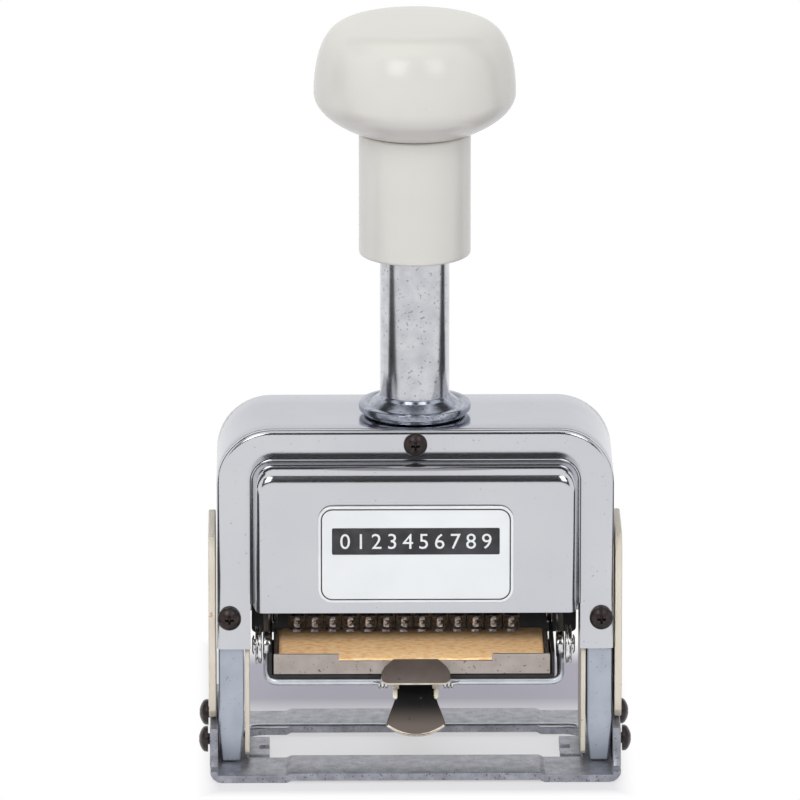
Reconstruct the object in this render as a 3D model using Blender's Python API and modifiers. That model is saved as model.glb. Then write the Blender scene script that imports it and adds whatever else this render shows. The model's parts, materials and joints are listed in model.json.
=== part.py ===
"""Desk numbering machine: a sprung hand plunger drives a row of thirteen number wheels
down through a window in the base, while the ink pad swings out from under them.

Metres, +Z up, the front faces -Y. The origin lies on the desk under the plunger's axis.
"""

import math

import bmesh
import bpy
from mathutils import Matrix, Vector

MM = 0.001

# Clearances
SEAT_GAP = 0.3 * MM
RUNNING_GAP = 0.4 * MM
OVERRUN = 1.0 * MM
TURN_MERGE = 0.01 * MM
WELD = 0.0001 * MM

# Housing: an arched shell, open in front and below
HOUSING_WIDTH = 83.6 * MM
HOUSING_TOP = 75.0 * MM
HOUSING_BOTTOM = 27.2 * MM
HOUSING_FRONT = 12.0 * MM
HOUSING_BACK = 16.0 * MM
HOUSING_RADIUS = 11.6 * MM
HOUSING_WALL = 1.0 * MM
EDGE_ROUNDING = 0.9 * MM

# Base: a pressed floor with a window, and a flange along each side
BASE_SIDE_LEDGES = 3.2 * MM
BASE_WIDTH = HOUSING_WIDTH + BASE_SIDE_LEDGES
BASE_FRONT_LEDGE = 9.2 * MM
BASE_FRONT = HOUSING_FRONT + BASE_FRONT_LEDGE
BASE_BACK_LEDGE = 9.9 * MM
BASE_BACK = HOUSING_BACK + BASE_BACK_LEDGE
BASE_THICKNESS = 1.6 * MM
BASE_FLANGE_THICKNESS = 1.7 * MM
BASE_FLANGE_TOP = 10.2 * MM
BASE_FLANGE_AHEAD = 3.6 * MM
BASE_FLANGE_FRONT = HOUSING_FRONT + BASE_FLANGE_AHEAD
BASE_FLANGE_BEHIND = 1.6 * MM
BASE_FLANGE_BACK = HOUSING_BACK + BASE_FLANGE_BEHIND
BASE_FLANGE_SLOPE = 2.0 * MM
BASE_FLANGE_SLOPE_SHARE = 0.75
BASE_CORNER_RADIUS = 2.6 * MM
BASE_END_FEET = 31.2 * MM
BASE_RAISED_WIDTH = HOUSING_WIDTH - BASE_END_FEET
BASE_RAISE = 0.5 * MM
BASE_STEP_RUN = 1.0 * MM
WINDOW_SIDE_RAILS = 12.8 * MM
WINDOW_WIDTH = HOUSING_WIDTH - WINDOW_SIDE_RAILS
WINDOW_FRONT = 7.9 * MM
WINDOW_BACK = 13.2 * MM
WINDOW_RADIUS = 3.6 * MM
INDEX_TAB_LENGTH = 4.6 * MM
INDEX_TAB_FRONT = 5.8 * MM
INDEX_TAB_BACK = 7.0 * MM
INDEX_NOTCH_DEPTH = 2.2 * MM
INDEX_NOTCH_WIDTH = 2.4 * MM

# Front cover: a plate with a raised hood over the wheels
COVER_THICKNESS = 1.4 * MM
COVER_SIDE_LEGS = 14.9 * MM
COVER_OPENING_WIDTH = HOUSING_WIDTH - COVER_SIDE_LEGS
HOOD_BELOW_TOP = 6.4 * MM
HOOD_TOP = HOUSING_TOP - HOOD_BELOW_TOP
HOOD_TOP_SLOPE = 3.8 * MM
HOOD_FACE_TOP = HOOD_TOP - HOOD_TOP_SLOPE
HOOD_ABOVE_BOTTOM = 10.0 * MM
HOOD_BOTTOM = HOUSING_BOTTOM + HOOD_ABOVE_BOTTOM
HOOD_DEPTH = 7.0 * MM
HOOD_SIDE_SLOPE = 1.8 * MM
HOOD_WALL = 1.2 * MM
HOOD_CORNER = 4.6 * MM
NAME_PLATE_SIDE_MARGINS = 27.7 * MM
NAME_PLATE_WIDTH = COVER_OPENING_WIDTH - NAME_PLATE_SIDE_MARGINS
NAME_PLATE_MARGINS = 6.6 * MM
NAME_PLATE_HEIGHT = HOOD_FACE_TOP - HOOD_BOTTOM - NAME_PLATE_MARGINS
NAME_PLATE_RADIUS = 3.0 * MM
NAME_PLATE_THICKNESS = 0.5 * MM
NAME_PLATE_DROP = 0.8 * MM
NAME_PLATE_HEIGHT_UP = (HOOD_FACE_TOP + HOOD_BOTTOM) / 2 - NAME_PLATE_DROP

# Side pieces
LEG_WIDTH = 5.2 * MM
LEG_BEHIND_FRONT = 0.4 * MM
LEG_FRONT = HOUSING_FRONT - LEG_BEHIND_FRONT
LEG_BEFORE_BACK = 1.0 * MM
LEG_BACK = HOUSING_BACK - HOUSING_WALL - LEG_BEFORE_BACK
LEG_BELOW_TOP = 17.0 * MM
LEG_TOP = HOUSING_TOP - LEG_BELOW_TOP
LEG_TAPER_HEIGHT = 6.6 * MM
LEG_TAPER = 0.7 * MM
OUTER_PLATE_THICKNESS = 1.5 * MM
OUTER_PLATE_AHEAD = 0.4 * MM
OUTER_PLATE_FRONT = HOUSING_FRONT + OUTER_PLATE_AHEAD
OUTER_PLATE_BEFORE_BACK = 2.4 * MM
OUTER_PLATE_BACK = HOUSING_BACK - OUTER_PLATE_BEFORE_BACK
OUTER_PLATE_BELOW_TOP = 23.5 * MM
OUTER_PLATE_TOP = HOUSING_TOP - OUTER_PLATE_BELOW_TOP
OUTER_PLATE_RADIUS = 5.0 * MM
GUIDE_PLATE_THICKNESS = 1.0 * MM
GUIDE_PLATE_BEHIND_FRONT = 0.6 * MM
GUIDE_PLATE_FRONT = HOUSING_FRONT - GUIDE_PLATE_BEHIND_FRONT
GUIDE_PLATE_BEFORE_BACK = 3.4 * MM
GUIDE_PLATE_BACK = HOUSING_BACK - GUIDE_PLATE_BEFORE_BACK
GUIDE_PLATE_BELOW_TOP = 19.0 * MM
GUIDE_PLATE_TOP = HOUSING_TOP - GUIDE_PLATE_BELOW_TOP
GUIDE_PLATE_BOTTOM = 2.8 * MM
GUIDE_PLATE_RADIUS = 2.0 * MM

# Stem: the fixed tube that guides the knob
STEM_RADIUS = 7.3 * MM
STEM_BORE_RADIUS = 5.3 * MM
STEM_ABOVE_HOUSING = 47.0 * MM
STEM_TOP = HOUSING_TOP + STEM_ABOVE_HOUSING
STEM_FLANGE_RADIUS = 11.8 * MM
STEM_FOOT_RADIUS = 10.9 * MM
STEM_FOOT_HEIGHT = 0.8 * MM
STEM_FLANGE_THICKNESS = 1.6 * MM
STEM_FLARE_RADIUS = 10.2 * MM
STEM_FLARE_HEIGHT = 1.7 * MM
STEM_SHOULDER_HEIGHT = 4.6 * MM
STEM_STEPS = 32

# Plunger: the rod, its spring, the knob and its sleeve
STROKE = 26.4 * MM
ROD_RADIUS = 3.0 * MM
ROD_SEAT_DEPTH = 5.6 * MM
SLEEVE_RADIUS = 11.75 * MM
SLEEVE_ABOVE_HOUSING = 35.0 * MM
SLEEVE_BOTTOM = HOUSING_TOP + SLEEVE_ABOVE_HOUSING
SLEEVE_HEIGHT = 26.4 * MM
SLEEVE_ROUNDING = 0.8 * MM
KNOB_RADIUS = 21.2 * MM
KNOB_WIDEST_ABOVE_SLEEVE = 8.6 * MM
KNOB_WIDEST = SLEEVE_BOTTOM + SLEEVE_HEIGHT + KNOB_WIDEST_ABOVE_SLEEVE
KNOB_DOME_RISE = 15.4 * MM
KNOB_TOP = KNOB_WIDEST + KNOB_DOME_RISE
KNOB_STEPS = 40
KNOB_ARC_POINTS = 9
KNOB_TOP_FLATNESS_SHARE = 0.32
KNOB_UNDER_TAPER_SHARE = 1.6
SPRING_WIRE_RADIUS = 0.5 * MM
SPRING_TURNS = 15
SPRING_POINTS_PER_TURN = 9

# Carriage: what the rod pushes down
AXLE_RADIUS = 1.8 * MM
AXLE_BACK = 2.6 * MM
AXLE_OVERHANG = 2.3 * MM
CARRIAGE_LEFT_INSET = 11.6 * MM
CARRIAGE_LEFT = HOUSING_WIDTH / 2 - CARRIAGE_LEFT_INSET
CARRIAGE_RIGHT_INSET = 12.7 * MM
CARRIAGE_RIGHT = HOUSING_WIDTH / 2 - CARRIAGE_RIGHT_INSET
CARRIAGE_PLATE_THICKNESS = 1.2 * MM
CARRIAGE_PLATE_HALF_DEPTH = 7.1 * MM
YOKE_HEIGHT = 5.0 * MM
YOKE_ROUNDING = 0.8 * MM
ROD_NUT_RADIUS = 4.6 * MM
ROD_NUT_HEIGHT = 3.0 * MM
ROD_NUT_SIDES = 6
COMB_THICKNESS = 1.0 * MM
COMB_HEIGHT = 9.0 * MM
COMB_BASE_HEIGHT = 3.0 * MM
COMB_ABOVE_WHEELS = 0.5 * MM

# Number wheels
WHEEL_COUNT = 13
WHEEL_RADIUS = 9.2 * MM
AXLE_HEIGHT = STROKE + WHEEL_RADIUS
WHEEL_ROW_SPARE = 10.16 * MM
WHEEL_PITCH = (CARRIAGE_LEFT + CARRIAGE_RIGHT - WHEEL_ROW_SPARE) / WHEEL_COUNT
WHEEL_SIDE_GAP = 0.48 * MM
WHEEL_THICKNESS = WHEEL_PITCH - WHEEL_SIDE_GAP
COMB_TOOTH_WIDTH = WHEEL_THICKNESS / 2
WHEEL_ROW_OFFSET = 2.3 * MM
WHEEL_FACE_RISE = 1.6 * MM
WHEEL_HUB_RADIUS = WHEEL_RADIUS - WHEEL_FACE_RISE
WHEEL_DIGITS = 10
WHEEL_DIGIT_SHARE = 0.62
WHEEL_DIGIT_TAPER_SHARE = 0.04
WHEEL_STEPS_PER_DIGIT = 4

# Pawl arm that counts on the units wheel
PAWL_THICKNESS = 1.5 * MM
PAWL_HUB_RADIUS = 4.0 * MM
PAWL_LENGTH = 9.6 * MM
PAWL_TIP_RADIUS = 1.6 * MM

# Ink pad, its tray and the swinging bracket
PAD_TOP = STROKE - SEAT_GAP
TRAY_LEFT_INSET = 0.3 * MM
TRAY_LEFT = CARRIAGE_LEFT - TRAY_LEFT_INSET
TRAY_RIGHT_INSET = 0.8 * MM
TRAY_RIGHT = CARRIAGE_RIGHT - TRAY_RIGHT_INSET
TRAY_FRONT = 19.2 * MM
TRAY_BACK = 7.6 * MM
TRAY_DEPTH_BELOW_PAD = 2.75 * MM
TRAY_BOTTOM = PAD_TOP - TRAY_DEPTH_BELOW_PAD
TRAY_FLOOR = 0.7 * MM
TRAY_WALL = 0.8 * MM
TRAY_LIP_RISE = 1.6 * MM
TRAY_LIP_TOP = PAD_TOP + TRAY_LIP_RISE
TRAY_LIP_ENDS = 25.8 * MM
TRAY_LIP_NOTCH_WIDTH = TRAY_LEFT + TRAY_RIGHT - TRAY_LIP_ENDS
TRAY_LIP_NOTCH_DEPTH = 1.5 * MM
TRAY_SIDE_DROP = 0.6 * MM
BRACKET_WIRE_RADIUS = 0.75 * MM
BRACKET_LEFT_OUTSET = 1.1 * MM
BRACKET_LEFT = CARRIAGE_LEFT + BRACKET_LEFT_OUTSET
BRACKET_RIGHT_OUTSET = 1.5 * MM
BRACKET_RIGHT = CARRIAGE_RIGHT + BRACKET_RIGHT_OUTSET
BRACKET_BAR_FRONT = 18.5 * MM
BRACKET_BAR_DROP = 1.85 * MM
BRACKET_BAR_HEIGHT = TRAY_BOTTOM - BRACKET_BAR_DROP
BRACKET_CORNER = 2.6 * MM
BRACKET_CORNER_POINTS = 5
EYE_RADIUS = 2.9 * MM
EYE_THICKNESS = 1.5 * MM
ROLLER_RADIUS = 4.2 * MM
ROLLER_THICKNESS = 1.4 * MM
ROLLER_ALONG_ARM_SHARE = 0.4
ROLLER_PIN_RADIUS = 1.2 * MM
ROLLER_PIN_HEAD_RADIUS = 2.0 * MM
ROLLER_PIN_HEAD_HEIGHT = 0.4 * MM

# Finger tabs that open the pad
TAB_THICKNESS = 0.8 * MM
UPPER_TAB_BACK_HALF = 3.9 * MM
UPPER_TAB_FRONT_HALF = 7.2 * MM
UPPER_TAB_REACH = 6.0 * MM
UPPER_TAB_DROP = 3.2 * MM
UPPER_TAB_RADIUS = 1.0 * MM
LEVER_EAR_RADIUS = 1.6 * MM
LEVER_EAR_WIDTH = 1.5 * MM
LEVER_EAR_SPREAD = 5.0 * MM
LEVER_NECK_HALF = 4.0 * MM
LEVER_FAN_HALF = 6.6 * MM
LEVER_LENGTH = 13.0 * MM
LEVER_FAN_START = 4.2 * MM
LEVER_FAN_END = 10.6 * MM
LEVER_SLOPE = math.radians(52.0)
LEVER_SLACK = 0.2 * MM

# Screws
COVER_SCREW_RADIUS = 2.5 * MM
COVER_SCREW_HEAD = 1.5 * MM
COVER_SCREW_BELOW_TOP = 3.0 * MM
COVER_SCREW_TOP_HEIGHT = HOUSING_TOP - COVER_SCREW_BELOW_TOP
COVER_SCREW_ABOVE_BOTTOM = 6.8 * MM
COVER_SCREW_SIDE_HEIGHT = HOUSING_BOTTOM + COVER_SCREW_ABOVE_BOTTOM
COVER_SCREW_INSET = 2.6 * MM
COVER_SCREW_SIDE_SPREAD = HOUSING_WIDTH / 2 - COVER_SCREW_INSET
SIDE_SCREW_RADIUS = 2.75 * MM
SIDE_SCREW_HEAD = 2.1 * MM
SIDE_SCREW_HEIGHT = 6.0 * MM
SIDE_SCREW_BEHIND_FRONT = 3.3 * MM
SIDE_SCREW_FRONT = HOUSING_FRONT - SIDE_SCREW_BEHIND_FRONT
SIDE_SCREW_BEFORE_BACK = 5.3 * MM
SIDE_SCREW_BACK = HOUSING_BACK - SIDE_SCREW_BEFORE_BACK
SCREW_SHANK_RADIUS = 1.25 * MM
SCREW_SHANK_GRIP = 2.0 * MM
SCREW_CROSS_WIDTH = 0.6 * MM
SCREW_CROSS_DEPTH = 0.8 * MM
SCREW_CROSS_SHARE = 1.15
SCREW_HEAD_SHARES = ((0, 1), (0.5, 0.93), (0.85, 0.72), (1, 0.45), (1, 0))
SCREW_STEPS = 20

# Places worked out from the sizes above
HALF_HOUSING = HOUSING_WIDTH / 2
COVER_FACE = HOUSING_FRONT + SEAT_GAP + COVER_THICKNESS
HOOD_FACE = COVER_FACE + HOOD_DEPTH
HALF_OPENING = COVER_OPENING_WIDTH / 2
STEM_BOTTOM = HOUSING_TOP + SEAT_GAP
STEM_BORE_FLOOR = STEM_BOTTOM + STEM_SHOULDER_HEIGHT
ROD_BORE_RADIUS = ROD_RADIUS + RUNNING_GAP
SLEEVE_BORE_RADIUS = STEM_RADIUS + RUNNING_GAP
SLEEVE_TOP = SLEEVE_BOTTOM + SLEEVE_HEIGHT
KNOB_BOTTOM = SLEEVE_TOP + SEAT_GAP
KNOB_CEILING = STEM_TOP + STROKE + OVERRUN
ROD_TOP = KNOB_CEILING + ROD_SEAT_DEPTH
YOKE_TOP = HOUSING_TOP - HOUSING_WALL - SEAT_GAP
YOKE_BOTTOM = YOKE_TOP - YOKE_HEIGHT
ROD_BOTTOM = YOKE_BOTTOM - ROD_NUT_HEIGHT
PLATE_TOP = YOKE_BOTTOM - SEAT_GAP
AXLE = Vector((0, AXLE_BACK, AXLE_HEIGHT))
FIRST_WHEEL = -WHEEL_ROW_OFFSET - (WHEEL_COUNT - 1) / 2 * WHEEL_PITCH
LAST_WHEEL = FIRST_WHEEL + (WHEEL_COUNT - 1) * WHEEL_PITCH
PAWL_PLACE = LAST_WHEEL + WHEEL_THICKNESS / 2 + RUNNING_GAP + PAWL_THICKNESS / 2
BAR = Vector((0, -BRACKET_BAR_FRONT, BRACKET_BAR_HEIGHT))
ROLLER = BAR.lerp(AXLE, ROLLER_ALONG_ARM_SHARE)

TURN_TO_FRONT = Matrix.Rotation(math.pi / 2, 4, "X")
TURN_TO_SIDE = Matrix.Rotation(math.pi / 2, 4, "Z") @ TURN_TO_FRONT


def start_scene():
    """Remove what the scene holds and make one collection for parts, one for cutters."""
    for old in list(bpy.data.objects):
        bpy.data.objects.remove(old, do_unlink=True)
    made = []
    for name in ("numbering_machine", "cutters"):
        made.append(bpy.data.collections.new(name))
        bpy.context.scene.collection.children.link(made[-1])
    return made


PARTS, CUTTERS = start_scene()


def finish(obj, colour, roughness, metallic):
    """Give a part its own material and smooth shading with sharp edges."""
    look = bpy.data.materials.new(obj.name)
    look.use_nodes = True
    shader = look.node_tree.nodes["Principled BSDF"]
    shader.inputs["Base Color"].default_value = (*colour, 1)
    shader.inputs["Roughness"].default_value = roughness
    shader.inputs["Metallic"].default_value = metallic
    obj.data.materials.clear()
    obj.data.materials.append(look)
    obj.data.shade_smooth()
    obj.data.set_sharp_from_angle(angle=math.radians(35))
    return obj


def chrome(obj):
    return finish(obj, (0.66, 0.67, 0.69), 0.22, 1)


def zinc(obj):
    return finish(obj, (0.42, 0.45, 0.49), 0.5, 1)


def steel(obj):
    return finish(obj, (0.35, 0.34, 0.33), 0.4, 1)


def rough_cast(obj):
    return finish(obj, (0.25, 0.25, 0.25), 0.6, 0.8)


def black_screw(obj):
    return finish(obj, (0.02, 0.018, 0.018), 0.4, 0.6)


def ivory_plastic(obj):
    return finish(obj, (0.72, 0.7, 0.65), 0.25, 0)


def ivory_paint(obj):
    return finish(obj, (0.66, 0.61, 0.5), 0.5, 0)


def dark_paint(obj):
    return finish(obj, (0.12, 0.1, 0.09), 0.5, 0.3)


def white_label(obj):
    return finish(obj, (0.8, 0.82, 0.83), 0.4, 0)


def felt(obj):
    return finish(obj, (0.58, 0.36, 0.15), 0.95, 0)


def add(name, mesh, place=Matrix.Identity(4)):
    """A new object in the parts' collection; place turns and moves its mesh."""
    mesh.transform(place)
    obj = bpy.data.objects.new(name, mesh)
    PARTS.objects.link(obj)
    return obj


def as_cutter(obj):
    PARTS.objects.unlink(obj)
    CUTTERS.objects.link(obj)
    obj.hide_render = True
    obj.display_type = "WIRE"
    return obj


def box(name, low, high):
    """A box between two corners."""
    mesh = bpy.data.meshes.new(name)
    bm = bmesh.new()
    bmesh.ops.create_cube(bm, size=1)
    low, high = Vector(low), Vector(high)
    bmesh.ops.scale(bm, vec=high - low, verts=bm.verts)
    bmesh.ops.translate(bm, vec=(high + low) / 2, verts=bm.verts)
    bm.to_mesh(mesh)
    bm.free()
    return add(name, mesh)


def rod(name, radius, start, end, steps=SCREW_STEPS, end_radius=None):
    """A round bar, or a cone where end_radius differs, from one point to another."""
    mesh = bpy.data.meshes.new(name)
    bm = bmesh.new()
    start, end = Vector(start), Vector(end)
    reach = end - start
    bmesh.ops.create_cone(
        bm,
        cap_ends=True,
        segments=steps,
        radius1=radius,
        radius2=radius if end_radius is None else end_radius,
        depth=reach.length,
    )
    bm.to_mesh(mesh)
    bm.free()
    turn = reach.to_track_quat("Z", "Y").to_matrix().to_4x4()
    return add(name, mesh, Matrix.Translation((start + end) / 2) @ turn)


def turned(name, profile, steps, place=Matrix.Identity(4)):
    """A body turned about Z from a closed profile of (radius, height) points."""
    mesh = bpy.data.meshes.new(name)
    points = [(radius, 0, height) for radius, height in profile]
    on_axis = abs(profile[0][0]) < SEAT_GAP and abs(profile[-1][0]) < SEAT_GAP
    count = len(points)
    edges = [(i, i + 1) for i in range(count - 1)]
    if not on_axis:
        edges.append((count - 1, 0))
    mesh.from_pydata(points, edges, [])
    obj = add(name, mesh)
    screw = obj.modifiers.new("turn", "SCREW")
    screw.steps = steps
    screw.render_steps = steps
    screw.use_merge_vertices = True
    screw.merge_threshold = TURN_MERGE
    baked = applied(obj)
    baked.data.transform(place)
    return baked


def applied(obj):
    """The object as a plain mesh, with its modifiers or its curve worked out."""
    graph = bpy.context.evaluated_depsgraph_get()
    mesh = bpy.data.meshes.new_from_object(obj.evaluated_get(graph))
    matrix = obj.matrix_world.copy()
    name = obj.name
    bpy.data.objects.remove(obj, do_unlink=True)
    bm = bmesh.new()
    bm.from_mesh(mesh)
    bmesh.ops.remove_doubles(bm, verts=bm.verts, dist=WELD)
    bm.to_mesh(mesh)
    bm.free()
    fresh = add(name, mesh)
    fresh.matrix_world = matrix
    bpy.context.view_layer.update()
    return fresh


def outline(name, points, thickness, place):
    """A flat plate from a 2D outline, centred on its own plane, then placed."""
    curve = bpy.data.curves.new(name, "CURVE")
    curve.dimensions = "2D"
    curve.fill_mode = "BOTH"
    curve.extrude = thickness / 2
    spline = curve.splines.new("POLY")
    spline.points.add(len(points) - 1)
    for point, (x, y) in zip(spline.points, points):
        point.co = (x, y, 0, 1)
    spline.use_cyclic_u = True
    obj = bpy.data.objects.new(name, curve)
    PARTS.objects.link(obj)
    bpy.context.view_layer.update()
    flat = applied(obj)
    flat.data.transform(place)
    return flat


def wire(name, points, radius, cyclic=False):
    """A round wire through the points."""
    curve = bpy.data.curves.new(name, "CURVE")
    curve.dimensions = "3D"
    curve.bevel_depth = radius
    curve.bevel_resolution = 2
    curve.use_fill_caps = not cyclic
    spline = curve.splines.new("POLY")
    spline.points.add(len(points) - 1)
    for point, place in zip(spline.points, points):
        point.co = (*place, 1)
    spline.use_cyclic_u = cyclic
    obj = bpy.data.objects.new(name, curve)
    PARTS.objects.link(obj)
    bpy.context.view_layer.update()
    return applied(obj)


def arc(centre, radius, start, end, points):
    """Points on a round corner, with the angles in degrees."""
    made = []
    for i in range(points):
        angle = math.radians(start + (end - start) * i / (points - 1))
        made.append((centre[0] + radius * math.cos(angle), centre[1] + radius * math.sin(angle)))
    return made


def boolean(obj, other, operation):
    """Cut the object with another, or join them, and work the result out."""
    as_cutter(other)
    step = obj.modifiers.new(operation.lower(), "BOOLEAN")
    step.operation = operation
    step.solver = "EXACT"
    step.object = other
    bpy.context.view_layer.update()
    result = applied(obj)
    bpy.data.objects.remove(other, do_unlink=True)
    return result


def cut(obj, *others):
    for other in others:
        obj = boolean(obj, other, "DIFFERENCE")
    return obj


def join(obj, *others):
    for other in others:
        obj = boolean(obj, other, "UNION")
    return obj


def rounded(obj, width, segments=2):
    """Round the edges sharper than forty degrees."""
    step = obj.modifiers.new("round", "BEVEL")
    step.width = width
    step.segments = segments
    step.limit_method = "ANGLE"
    step.angle_limit = math.radians(40)
    bpy.context.view_layer.update()
    return applied(obj)


def rounded_box(low, high, radius, points=4):
    """The outline of a rectangle with four round corners."""
    (x0, y0), (x1, y1) = low, high
    made = arc((x1 - radius, y0 + radius), radius, -90, 0, points)
    made += arc((x1 - radius, y1 - radius), radius, 0, 90, points)
    made += arc((x0 + radius, y1 - radius), radius, 90, 180, points)
    made += arc((x0 + radius, y0 + radius), radius, 180, 270, points)
    return made


def arch(half_width, bottom, top, radius, points=7):
    """The outline of the housing: straight sides and two round shoulders."""
    made = [(-half_width, bottom), (half_width, bottom)]
    made += arc((half_width - radius, top - radius), radius, 0, 90, points)
    made += arc((-half_width + radius, top - radius), radius, 90, 180, points)
    return made


def facing_front(depth):
    """Places an XZ outline with its middle plane at the given distance in front."""
    return Matrix.Translation((0, -depth, 0)) @ TURN_TO_FRONT


def facing_side(across):
    """Places a YZ outline with its middle plane at the given X."""
    return Matrix.Translation((across, 0, 0)) @ TURN_TO_SIDE


def screw(name, seat, direction, radius, head):
    """A pan head screw with a cross recess; its head stands on seat, along direction."""
    seat = Vector(seat)
    direction = Vector(direction)
    shape = [(radius * across, head * up) for across, up in SCREW_HEAD_SHARES]
    shape += [
        (SCREW_SHANK_RADIUS, 0),
        (SCREW_SHANK_RADIUS, -SCREW_SHANK_GRIP),
        (0, -SCREW_SHANK_GRIP),
    ]
    body = turned(name, shape, SCREW_STEPS)
    half = SCREW_CROSS_WIDTH / 2
    arm = radius * SCREW_CROSS_SHARE / 2
    floor = head - SCREW_CROSS_DEPTH
    along = box("cross_a", (-arm, -half, floor), (arm, half, head + OVERRUN))
    across = box("cross_b", (-half, -arm, floor), (half, arm, head + OVERRUN))
    body = cut(body, join(along, across))
    turn = direction.to_track_quat("Z", "Y").to_matrix().to_4x4()
    body.data.transform(Matrix.Translation(seat) @ turn)
    return black_screw(body)


def make_base():
    half = BASE_WIDTH / 2
    raised = BASE_RAISED_WIDTH / 2
    low = raised + BASE_STEP_RUN
    inner = half - BASE_FLANGE_THICKNESS
    bend = BASE_CORNER_RADIUS
    top = BASE_THICKNESS
    lift = BASE_RAISE
    right = [(raised, lift), (low, 0)]
    right += arc((half - bend, bend), bend, -90, 0, 5)
    right += [(half, BASE_FLANGE_TOP), (inner, BASE_FLANGE_TOP)]
    right += [(inner, top), (low, top), (raised, top + lift)]
    section = right + [(-x, z) for x, z in reversed(right)]
    depth = BASE_FRONT + BASE_BACK
    base = outline("base_plate", section, depth, facing_front((BASE_FRONT - BASE_BACK) / 2))

    x1 = WINDOW_WIDTH / 2
    x0 = x1 - INDEX_TAB_LENGTH
    notch = x0 + INDEX_NOTCH_DEPTH
    middle = -(INDEX_TAB_FRONT - INDEX_NOTCH_WIDTH) / 2
    side = [(x1, -WINDOW_FRONT), (x1, -INDEX_TAB_FRONT), (x0, -INDEX_TAB_FRONT)]
    side += [(x0, middle), (notch, middle), (notch, middle + INDEX_NOTCH_WIDTH)]
    side += [(x0, middle + INDEX_NOTCH_WIDTH), (x0, INDEX_TAB_BACK), (x1, INDEX_TAB_BACK)]
    side += arc((x1 - WINDOW_RADIUS, WINDOW_BACK - WINDOW_RADIUS), WINDOW_RADIUS, 0, 90, 5)
    window = side + [(-x, y) for x, y in reversed(side)]
    hole = outline("window", window, BASE_FLANGE_TOP, Matrix.Identity(4))

    floor = BASE_THICKNESS + BASE_RAISE + SEAT_GAP
    above = BASE_FLANGE_TOP + OVERRUN
    trims = []
    for name, sign, edge, end in (
        ("front_trim", -1, BASE_FLANGE_FRONT, BASE_FRONT),
        ("back_trim", 1, BASE_FLANGE_BACK, BASE_BACK),
    ):
        points = [
            (sign * (edge + BASE_FLANGE_SLOPE), floor),
            (sign * (end + OVERRUN), floor),
            (sign * (end + OVERRUN), above),
            (sign * edge, above),
            (sign * edge, BASE_FLANGE_TOP * BASE_FLANGE_SLOPE_SHARE),
        ]
        trims.append(outline(name, points, BASE_WIDTH + OVERRUN, facing_side(0)))
    base = cut(base, hole, *trims)
    return rough_cast(cut(base, *side_screw_holes(half)))


def side_screw_holes(half):
    """One round cutter through both flanges for each pair of side screws."""
    holes = []
    for name, y in (("front_hole", -SIDE_SCREW_FRONT), ("back_hole", SIDE_SCREW_BACK)):
        reach = half + OVERRUN
        size = SCREW_SHANK_RADIUS + SEAT_GAP
        holes.append(rod(name, size, (-reach, y, SIDE_SCREW_HEIGHT), (reach, y, SIDE_SCREW_HEIGHT)))
    return holes


def make_housing():
    outer = arch(HALF_HOUSING, HOUSING_BOTTOM, HOUSING_TOP, HOUSING_RADIUS)
    depth = HOUSING_FRONT + HOUSING_BACK
    middle = (HOUSING_FRONT - HOUSING_BACK) / 2
    shell = outline("housing_shell", outer, depth, facing_front(middle))
    shell = rounded(shell, EDGE_ROUNDING)
    wall = HOUSING_WALL
    inner = arch(
        HALF_HOUSING - wall,
        HOUSING_BOTTOM - OVERRUN,
        HOUSING_TOP - wall,
        HOUSING_RADIUS - wall,
    )
    hollow_middle = (HOUSING_FRONT + OVERRUN - (HOUSING_BACK - wall)) / 2
    hollow_depth = HOUSING_FRONT + OVERRUN + HOUSING_BACK - wall
    hollow = outline("hollow", inner, hollow_depth, facing_front(hollow_middle))
    hole = rod(
        "rod_hole",
        ROD_BORE_RADIUS,
        (0, 0, HOUSING_TOP - wall - OVERRUN),
        (0, 0, HOUSING_TOP + OVERRUN),
        STEM_STEPS,
    )
    return chrome(cut(shell, hollow, hole))


def hood_solid(name, inset, front, back):
    """The hood's frustum: a box whose front face is drawn in, with round top corners."""
    half = HALF_OPENING - inset
    top = HOOD_TOP - inset
    bottom = HOOD_BOTTOM - OVERRUN - inset
    solid = box(name, (-half, -front, bottom), (half, -back, top))
    bm = bmesh.new()
    bm.from_mesh(solid.data)
    slope = HOOD_SIDE_SLOPE
    drop = HOOD_TOP - HOOD_FACE_TOP
    for vert in bm.verts:
        if vert.co.y < -(front + back) / 2:
            vert.co.x -= math.copysign(slope, vert.co.x)
            if vert.co.z > HOOD_BOTTOM:
                vert.co.z -= drop
    corners = []
    for edge in bm.edges:
        a, b = (v.co for v in edge.verts)
        if abs(a.y - b.y) > (front - back) / 2 and min(a.z, b.z) > HOOD_BOTTOM:
            corners.append(edge)
    bmesh.ops.bevel(
        bm,
        geom=corners,
        offset=HOOD_CORNER - inset,
        affect="EDGES",
        segments=4,
        profile=0.5,
        material=-1,
    )
    bm.to_mesh(solid.data)
    bm.free()
    return solid


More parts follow.
